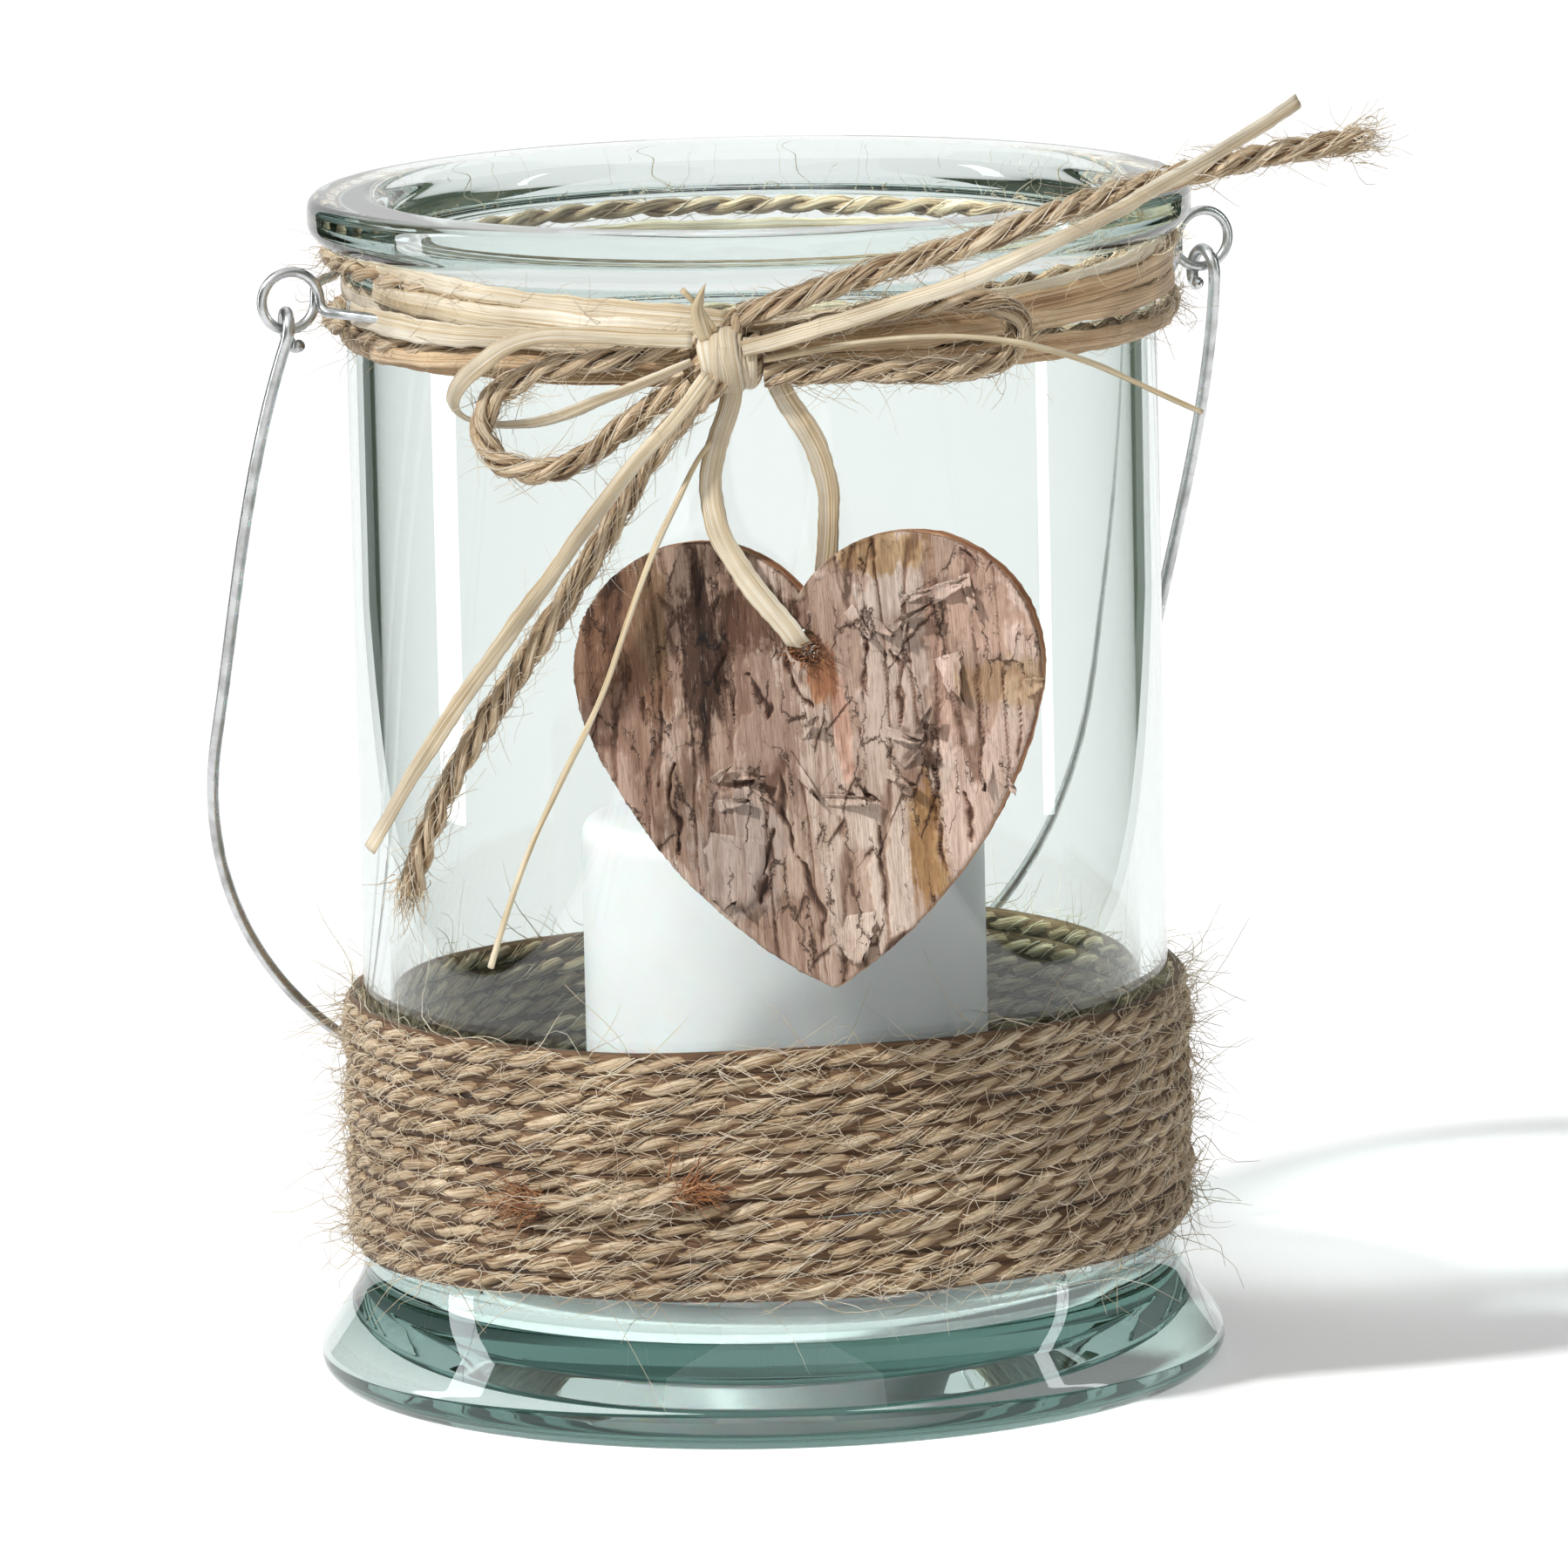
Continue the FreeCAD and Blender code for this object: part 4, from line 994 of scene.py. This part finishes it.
# Cracks: across and up at one end, the same at the other end, and width
CRACKS = [
    (-11.9, 9, -12.2, -11, 0.9), (-20.4, 9, -18.6, -7, 0.6), (-7.2, -26, -8.4, -33, 1.1),
    (-8.4, -33, -10.2, -37, 1.0), (-3.2, -30, -0.8, -44, 0.8), (7.0, -45.2, 13.4, -41.4, 0.9),
    (13.7, -1, 13.5, -12.4, 0.7), (25.6, -1, 26, -21.6, 0.6), (18.4, -12, 17.8, -34, 0.7),
    # The crack from (-3.6, -1) to (0, -9.4) is a painted shadow of the sling, made as a dark groove
    (24.6, 13.4, 24.8, 5.6, 0.6), (-7.8, -3, -6.8, -10.4, 0.7), (-3.6, -1, 0, -9.4, 0.7),
    (-27.4, 4, -27, -4, 0.8), (-5.6, -18, -5, -30, 0.7), (0.8, -22.8, 9.2, -23.2, 0.8),
    (-15.6, -18.6, -9, -19.4, 0.8), (-15.4, -23, -16, -28, 0.7), (-22, -16, -20.6, -30, 0.6),
    (8.4, -26, 8.8, -38, 0.5), (-24.6, -6, -23.6, -20, 0.5), (9.6, 3, 9.2, -8, 0.5),
    (30.8, -9, 30.2, -18, 0.5), (22.4, -22, 22, -30, 0.5),
]

# Patches of tone: across, up, half width, half height and colour
PLATES = [
    (-27, 2, 11, 13, (0.36, 0.21, 0.13)), (-22, 5, 3.5, 9, (0.4, 0.27, 0.16)),
    # The near-black patches at (-15.5, 0) and (-7, 4), on the left lobe's upper part, are partly the bark's
    # own dark bands and partly painted shadow of the bow
    (-29, -14, 5, 9, (0.58, 0.4, 0.31)), (-15.5, 0, 4.2, 13, (0.115, 0.06, 0.035)),
    (-7, 4, 6, 6, (0.19, 0.1, 0.06)), (-6.5, -12, 5.5, 12, (0.44, 0.3, 0.23)),
    (-20, -24, 4, 8, (0.36, 0.235, 0.165)), (-12, -29, 7, 9, (0.52, 0.41, 0.35)),
    (-1, -36, 5, 11, (0.56, 0.41, 0.315)), (8, -35, 8, 12, (0.8, 0.65, 0.54)),
    (11, -4, 8, 13, (0.68, 0.53, 0.44)), (11, 8, 7, 4, (0.76, 0.63, 0.54)),
    (12, 13, 8, 3, (0.56, 0.38, 0.21)), (29, 6, 9, 10, (0.86, 0.65, 0.54)),
    (30, -7, 8, 4, (0.62, 0.44, 0.28)), (28, -17, 6, 8, (0.74, 0.56, 0.46)),
    (16, -30, 3, 9, (0.56, 0.35, 0.16)), (22.5, -27, 4.5, 9, (0.84, 0.63, 0.52)),
    (20, -9, 1.5, 11, (0.92, 0.69, 0.58)), (4.6, -13, 1.3, 8, (0.88, 0.6, 0.48)),
    (-19.4, 1, 1.1, 9, (0.6, 0.45, 0.36)), (2, -4, 2.4, 5, (0.5, 0.24, 0.12)),
]

# Curled flakes: across, up, length, width, turn and lift
FLAKES = [
    (7, 5, 5.5, 1.5, 2.4, 2.0), (13, 1.8, 6, 1.3, 1.1, 2.2), (13.5, -1.4, 5.5, 1.3, 0.5, 2.4),
    (19, 6, 6, 2.0, 1.2, 1.8), (15.5, 6, 4.5, 1.1, 1.3, 1.6), (10, 3, 4, 1.6, 2.0, 1.8),
    (21, -2.4, 6, 3.2, 2.9, 1.1), (32, -8, 3.6, 2.2, 1.2, 1.8), (-1.8, -13, 4.2, 1.4, 0.9, 2.0),
    (-4.4, -15, 8.4, 1.3, 2.5, 1.4), (1, -22.4, 7.6, 1.5, 1.6, 1.6), (10.5, -19, 4.4, 1.2, 1.9, 2.2),
    (12.8, -18, 5.4, 1.3, 0.9, 2.4), (11, -13, 5.2, 1.5, 1.8, 2.0), (15.5, -14.4, 5, 1.2, 0.6, 2.2),
    (5.6, -20, 3.6, 1.2, 2.6, 2.0), (-15.5, -19, 4.4, 1.2, 1.0, 1.8), (-12.8, -18, 5.2, 1.2, 1.6, 1.8),
    (-15, -22.6, 4.8, 1.5, 1.4, 1.6), (-9, -20, 3.6, 1.1, 2.2, 1.6), (-12.5, -27, 9.5, 7.6, 3.3, 1.2),
    (3.5, -39.4, 6.6, 6.2, 3.0, 1.2), (25.6, -18, 4, 1.4, 3.2, 1.4), (27, -20, 3.4, 1.4, 2.2, 1.6),
    (-27.6, 1, 3.4, 1.2, 2.9, 1.4), (24.4, 9, 4.2, 1.4, 2.8, 1.2),
]


def heart_outline(count):
    """Even points round the heart from its notch, with the hole's centre at the origin."""
    centre = np.array([HEART_LOBE_OUT, HEART_DROP - HEART_LOBE])
    tip = np.array([0, HEART_DROP - HEART_HEIGHT])
    to_tip = tip - centre
    step = HEART_LOBE - HEART_SIDE
    across_tip = (to_tip.dot(to_tip) + step ** 2 - HEART_SIDE ** 2) / (2 * step)
    join = math.atan2(to_tip[1], to_tip[0]) + math.acos(across_tip / norm(to_tip))
    side_centre = centre + np.array([math.cos(join), math.sin(join)]) * step
    notch = math.pi - math.acos(HEART_LOBE_OUT / HEART_LOBE)
    tip_angle = math.atan2(*(tip - side_centre)[::-1])
    lobe = np.linspace(notch, join, ARC_POINTS)
    side = np.linspace(join, tip_angle, ARC_POINTS)[1:]
    right = np.concatenate([
        centre + HEART_LOBE * np.stack([np.cos(lobe), np.sin(lobe)], 1),
        side_centre + HEART_SIDE * np.stack([np.cos(side), np.sin(side)], 1),
    ])
    whole = np.concatenate([right, right[::-1][1:] * (-1, 1)])
    s = lengths(whole)
    return points_at(whole, s, np.linspace(0, s[-1], count, endpoint=False))


def heart_axes():
    """The turn of the heart round the jar, and the directions of its right, back and up."""
    c, s = math.cos(HEART_TURN), math.sin(HEART_TURN)
    turn = np.array([[c, s, 0], [-s, c, 0], [0, 0, 1]])
    c, s = math.cos(HEART_TILT), math.sin(HEART_TILT)
    return turn, turn @ np.array([[c, 0, -s], [0, 1, 0], [s, 0, c]])


heart_turn, heart_way = heart_axes()
heart_base = heart_turn @ HEART_PLACE


def heart_place(local):
    """Local points (right, back, up) of the heart in the shared frame."""
    return local @ heart_way.T + heart_base


def heart_local(points):
    """The reverse of heart_place."""
    return (points - heart_base) @ heart_way


def heart_layer(front, back, seed, edge_bands, rows, around, relief=None):
    """One layer of the heart between two depths, with relief on its face and torn layers at its edge."""
    outline = heart_outline(around)
    hole = HEART_HOLE * unit(outline)
    rng = np.random.default_rng(seed)
    ragged = 0.35 * wobble(np.arange(float(around)), 17.0, seed) + 0.15 * rng.standard_normal(around)
    rings = []

    def ring(flat, depth):
        rings.append(np.column_stack([flat[:, 0], np.broadcast_to(-depth, around), flat[:, 1]]))

    for f in np.linspace(0, 1, rows):
        flat = hole + (outline - hole) * f
        height = relief(flat[:, 0], flat[:, 1]) * min(1, (1 - f) * 14 + 0.2) if relief else 0.0
        ring(flat, front + height)
    for d in np.linspace(0, 1, edge_bands + 2)[1:-1]:
        step = 0.22 * math.sin(d * edge_bands * 2.4) + ragged * 0.35
        ring(outline * (1 + (step / norm(outline, axis=1)))[:, None], front + (back - front) * d)
    for f in (1.0, 0.97, 0.5, 0.0):
        ring(hole + (outline - hole) * f, back)
    rings = np.array(rings)[:, ::-1]
    return Shell().skin(heart_place(rings), np.arange(len(rings)), girth(around), closed=True)


def bark_sheets(x, z):
    """Steps between the bark's torn sheets, and the cracks, which run mostly up and down."""
    torn = 0.2 * (patchwork(x / 1.6, z / 2.6, 306) - 0.5) + 0.1 * (patchwork(x / 0.6, z / 0.9, 308) - 0.5)
    sheet = np.clip((patchwork(x / 5 + 3, z / 24 + 7, 304) + torn - 0.47) * 14, -0.5, 0.5)
    split = np.clip(1 - np.abs(patchwork(x / 3.4 + 41, z / 34 + 5, 309) + 0.3 * torn - 0.5) * 16, 0, 0.6)
    for k, (x0, z0, x1, z1, wide) in enumerate(CRACKS):
        dx, dz = x1 - x0, z1 - z0
        length = math.hypot(dx, dz)
        t = np.clip(((x - x0) * dx + (z - z0) * dz) / length ** 2, 0, 1)
        sway = 2.4 * (patchwork(t * length / 3.1, np.full_like(t, 3.7 * k), 310) - 0.5)
        room = wide * (0.2 + 1.05 * patchwork(t * length / 1.7, np.full_like(t, 5.1 * k), 311))
        room = np.maximum(room * np.sin(math.pi * t) ** 0.6, 0.02)
        beside = ((x - x0) * dz - (z - z0) * dx) / length
        past = np.hypot(x - x0 - t * dx, z - z0 - t * dz) - np.abs(beside)
        off = np.abs(beside + sway + 4 * torn) + 3 * past
        split = np.maximum(split, np.clip(1.4 - off / room, 0, 1))
    return sheet, -split


def bark_relief(x, z):
    """Height of the bark's ridges and torn sheets in millimetres."""
    sway = 1.6 * patchwork(x / 9, z / 14, 301)
    ridge = patchwork(x / 1.7 + sway, z / 9, 302) - 0.5
    fine = patchwork(x / 0.7 + 2 * sway, z / 3, 303) - 0.5
    sheet, crack = bark_sheets(x, z)
    return 0.25 * ridge + 0.14 * fine + 0.45 * sheet + 0.75 * crack


def plates(paint, colour, position, waver):
    """Lays the patches of tone over a base."""
    for x, z, wide, tall, tint in PLATES:
        moved = paint.vector("SUBTRACT", position, (x, 0, z))
        reach = paint.vector("LENGTH", paint.vector("MULTIPLY", moved, (1 / wide, 0, 1 / tall)))
        colour = paint.mix(paint.span(paint.math("ADD", reach, waver), 1.12, 0.86), colour, tint)
    return colour


def crackle(paint, position, ragged):
    """Fine dark splits, mostly up and down, broken off here and there."""
    shift = paint.mix(paint.span(ragged, 0.3, 0.7), BLACK, (0.5, 0.0, 0.18))
    moved = paint.vector("ADD", paint.vector("MULTIPLY", position, (0.3, 0.0, 0.075)), shift)
    cells = paint.node("TexVoronoi", feature="DISTANCE_TO_EDGE")
    paint.feed(cells.inputs["Vector"], moved)
    paint.feed(cells.inputs["Scale"], 1.0)
    here = paint.span(paint.noise(position, 0.16), 0.47, 0.62, 0.003, 0.055)
    return paint.math("DIVIDE", cells.outputs["Distance"], here, use_clamp=True)


def bark_paint():
    paint = Paint("birch_bark")
    position = paint.attribute("face", "Vector")
    grain = paint.scaled(position, (1.0, 0.0, 0.07))
    streak = paint.noise(grain, 0.55, 7.0, 0.62, 0.2)
    hair = paint.noise(grain, 4.5, 4.0, 0.62)
    ragged = paint.noise(position, 0.5, 6.0, 0.7)
    level = paint.span(paint.attribute("level", "Fac"), -1.0, 0.15)
    split = crackle(paint, position, ragged)
    waver = paint.math("ADD", paint.span(streak, 0.3, 0.7, -0.45, 0.45),
                       paint.span(ragged, 0.3, 0.7, -0.25, 0.25))
    colour = paint.ramp(streak, (0.34, (0.34, 0.22, 0.15)), (0.48, (0.56, 0.41, 0.32)),
                        (0.62, (0.72, 0.57, 0.47)))
    colour = plates(paint, colour, position, waver)
    colour = paint.shade(colour, streak, (0.34, (0.66, 0.6, 0.56)), (0.54, WHITE))
    colour = paint.shade(colour, level, (0.08, (0.09, 0.05, 0.035)), (0.45, (0.45, 0.36, 0.31)),
                         (0.75, (0.78, 0.7, 0.65)), (0.95, WHITE))
    colour = paint.shade(colour, hair, (0.34, (0.66, 0.61, 0.58)), (0.5, (0.95, 0.94, 0.93)), (0.62, WHITE))
    colour = paint.shade(colour, split, (0.1, (0.16, 0.1, 0.07)), (0.6, (0.82, 0.78, 0.75)), (1.0, WHITE))
    pale = paint.span(hair, 0.6, 0.72, 0.0, 0.5)
    paint.set(Base_Color=paint.mix(pale, colour, (0.8, 0.66, 0.56)), Roughness=0.7)
    return paint.bump(paint.math("MULTIPLY_ADD", split, 0.6, hair), 0.9, 0.4).material


def edge_paint():
    """Thin layers seen along the cut edge, and the inner bark's back."""
    paint = Paint("bark_layers")
    layer = paint.noise(paint.scaled(paint.attribute("face", "Vector"), (0.12, 3.2, 0.12)), 1.0, 3.0, 0.5)
    colour = paint.ramp(layer, (0.3, (0.17, 0.06, 0.025)), (0.5, (0.36, 0.16, 0.075)),
                        (0.62, (0.5, 0.29, 0.16)), (0.72, (0.72, 0.55, 0.39)))
    paint.set(Base_Color=colour, Roughness=0.75)
    return paint.bump(layer, 0.6, 0.4).material


def keep_face(piece, local, level):
    """Keeps each point's place on the heart in millimetres, and its sheet of bark."""
    keep(piece.data, "face", local)
    keep(piece.data, "level", level)


def flake(shell, x, z, length, width, turn, lift, seed):
    """A torn sheet of bark that curls off the face at its far end."""
    rng = np.random.default_rng(seed)
    t = np.linspace(0, 1, FLAKE_ROWS)[:, None]
    left = -0.5 - 0.18 * rng.random((FLAKE_ROWS, 1))
    right = 0.5 + 0.18 * rng.random((FLAKE_ROWS, 1))
    taper = 1 - (0.3 + 0.5 * rng.random()) * t ** 2
    w = np.linspace(0, 1, FLAKE_ACROSS)
    spread = (left * (1 - w) + right * w) * width * taper
    along = t * length * (1 + 0.06 * rng.standard_normal())
    along = along + 0.13 * length * rng.standard_normal((1, FLAKE_ACROSS)) * t
    c, s = math.cos(turn), math.sin(turn)
    fx = x + spread * c + along * s
    fz = z - spread * s + along * c
    off = bark_relief(fx, fz) * (1 - t) + lift * t ** 2 + 0.5 * lift * t * (2 * w - 1) ** 2
    top = np.stack([fx, -(FACE_DEPTH + FLAKE_HALF + off), fz], -1)
    under = np.stack([fx, -(FACE_DEPTH - FLAKE_HALF + off), fz], -1)
    rings = np.concatenate([top, under[:, ::-1]], 1)
    shell.skin(heart_place(rings), t[:, 0], girth(2 * FLAKE_ACROSS))


bark = heart_layer(FACE_DEPTH, HEART_CORE + 0.02, seed=311, edge_bands=4, rows=120, around=620,
                   relief=bark_relief)
for k, shape in enumerate(FLAKES):
    flake(bark, *shape, seed=330 + k)
bark_places = [heart_local(points) for points in bark.points]
face_places = bark_places[0]
sheet_step, crack_step = bark_sheets(face_places[:, 0], face_places[:, 2])
face_level = np.where(face_places[:, 1] < 0.6 - FACE_DEPTH, 0.3 * sheet_step + crack_step, -0.3)
# Flake undersides sit lower in the sheets: their redder inner bark, darkened partly as painted shade under
# the curl
flake_level = np.tile(np.repeat((0.1, -0.5), FLAKE_ACROSS), FLAKE_ROWS)
bark_level = np.concatenate([face_level] + [flake_level] * len(FLAKES))
heart_bark = bark.piece("heart_bark_face", "heart", bark_paint(), "bark", ["heart_bark"])
keep_face(heart_bark, np.concatenate(bark_places), bark_level)

rng = np.random.default_rng(320)
around = rng.uniform(math.pi * 0.95, TURN + 0.2, HOLE_FRAYS)
ring = np.stack([np.cos(around), np.zeros(HOLE_FRAYS), np.sin(around)], 1)
root = ring * rng.uniform(2.1, 3.2, (HOLE_FRAYS, 1)) + (0, 0.4 - FACE_DEPTH, 0)
inward = rng.uniform(-1.2, 0.5, (HOLE_FRAYS, 1)) * ring
aim = unit(inward + 0.5 * rng.standard_normal((HOLE_FRAYS, 3)) - (0, 0.15, 0))
ends = heart_place(root + aim) - heart_place(root)
bristles(Shell(), heart_place(root), ends, -ends, rng.uniform(1.5, 4.2, HOLE_FRAYS), 0.16, rng).piece(
    "hole_frays", "heart", RUSTY, "bark")

slab = heart_layer(HEART_CORE, 0.0, seed=312, edge_bands=7, rows=12, around=260)
slab_places = heart_local(np.concatenate(slab.points))
heart_slab = slab.piece("heart_slab", "heart", edge_paint(), "wood", ["heart_core"])
keep_face(heart_slab, slab_places, np.zeros(len(slab_places)))


# Stage, light and camera, in metres

JAR_MIDDLE = (0, 0, 0.09)
scene = bpy.context.scene


def stage_card(name, corners, material):
    mesh = bpy.data.meshes.new(name)
    mesh.from_pydata(corners, [], [[0, 1, 2, 3]])
    mesh.materials.append(material)
    card = bpy.data.objects.new(name, mesh)
    bpy.context.collection.objects.link(card)
    return card


def side_card(name, x, near, far, low, high, material):
    """An upright card beside the jar that only the glass and the wire show."""
    card = stage_card(name, [(x, near, low), (x, far, low), (x, far, high), (x, near, high)], material)
    card.visible_camera = False
    card.visible_diffuse = False
    card.visible_shadow = False


def floor_paint():
    paint = Paint("pale_floor")
    grain = paint.noise(paint.place((3, 3, 3)))
    colour = paint.ramp(grain, (0.3, (0.9, 0.9, 0.9)), (0.7, (0.93, 0.93, 0.93)))
    paint.set(Base_Color=colour, Roughness=0.9, Specular_IOR_Level=0.0, Emission_Color=WHITE)
    return paint.set(Emission_Strength=paint.seen_directly(0.0, 0.28)).material


def card_paint():
    paint = Paint("sage_card")
    tone = paint.noise(paint.place((4, 4, 4)))
    colour = paint.ramp(tone, (0.35, (0.078, 0.099, 0.072)), (0.65, (0.13, 0.165, 0.12)))
    paint.set(Base_Color=colour, Roughness=1.0, Specular_IOR_Level=0.0)
    return paint.clear_behind(2).material


def glow_paint():
    paint = Paint("window_light")
    paint.set(Emission_Color=(0.93, 0.97, 1.0), Emission_Strength=paint.seen_directly(0.0, 7.0))
    return paint.clear_behind(0).material


stage_card("floor", [(-4, -4, 0), (4, -4, 0), (4, 4, 0), (-4, 4, 0)], floor_paint())
sage = card_paint()
glow = glow_paint()
side_card("card_left", -0.42, -1.6, 0.7, 0.0, 0.9, sage)
side_card("card_right", 0.42, -1.6, 0.7, 0.0, 0.9, sage)
side_card("window_left", -0.4, -0.02, 0.05, 0.03, 0.5, glow)
side_card("window_right", 0.4, -0.06, -0.03, 0.03, 0.5, glow)


def stand(name, data, place, right, up, back):
    """Puts a lamp or a camera at a place, turned by its right, up and back."""
    rows = np.stack([right, up, back], 1)
    holder = bpy.data.objects.new(name, data)
    holder.matrix_world = Matrix([[*row, p] for row, p in zip(rows, place)] + [[0, 0, 0, 1]])
    bpy.context.collection.objects.link(holder)
    return holder


def lamp(name, kind, place, power):
    """A lamp at a place, aimed at the middle of the jar."""
    light = bpy.data.lights.new(name, kind)
    light.energy = power
    back = unit(np.subtract(place, JAR_MIDDLE))
    right = unit(np.cross(UP, back))
    stand(name, light, place, right, np.cross(back, right), back)
    return light


def photo_camera():
    eye = (0.0, -1.96655, 0.40503)
    pitch, yaw, roll = 0.16018, 0.0017, -0.02185
    look = np.array([
        math.sin(yaw) * math.cos(pitch), math.cos(yaw) * math.cos(pitch), -math.sin(pitch)])
    right = unit(np.cross(look, UP))
    up = np.cross(right, look)
    c, s = math.cos(roll), math.sin(roll)
    lens = bpy.data.cameras.new("photo_camera")
    lens.sensor_width = 36.0
    lens.lens = 307.24
    lens.clip_start = 0.05
    lens.clip_end = 50.0
    return stand("photo_camera", lens, eye, c * right + s * up, c * up - s * right, -look)


lamp("key", "SUN", (-1.1, -0.95, 1.45), 2.95).angle = math.radians(4)
lamp("fill", "AREA", (1.1, -1.2, 0.6), 3).size = 1.0
world = bpy.data.worlds.new("studio")
world.use_nodes = True
sky = Nodes(world.node_tree)
background = sky.tree.nodes["Background"]
sky.feed(background.inputs["Color"], WHITE)
sky.feed(background.inputs["Strength"], sky.seen_directly(0.25, 1.0))
scene.world = world
scene.camera = photo_camera()
scene.cycles.max_bounces = 24
scene.cycles.glossy_bounces = 16
scene.cycles.transmission_bounces = 16
scene.view_settings.view_transform = "Standard"

bpy.context.view_layer.update()
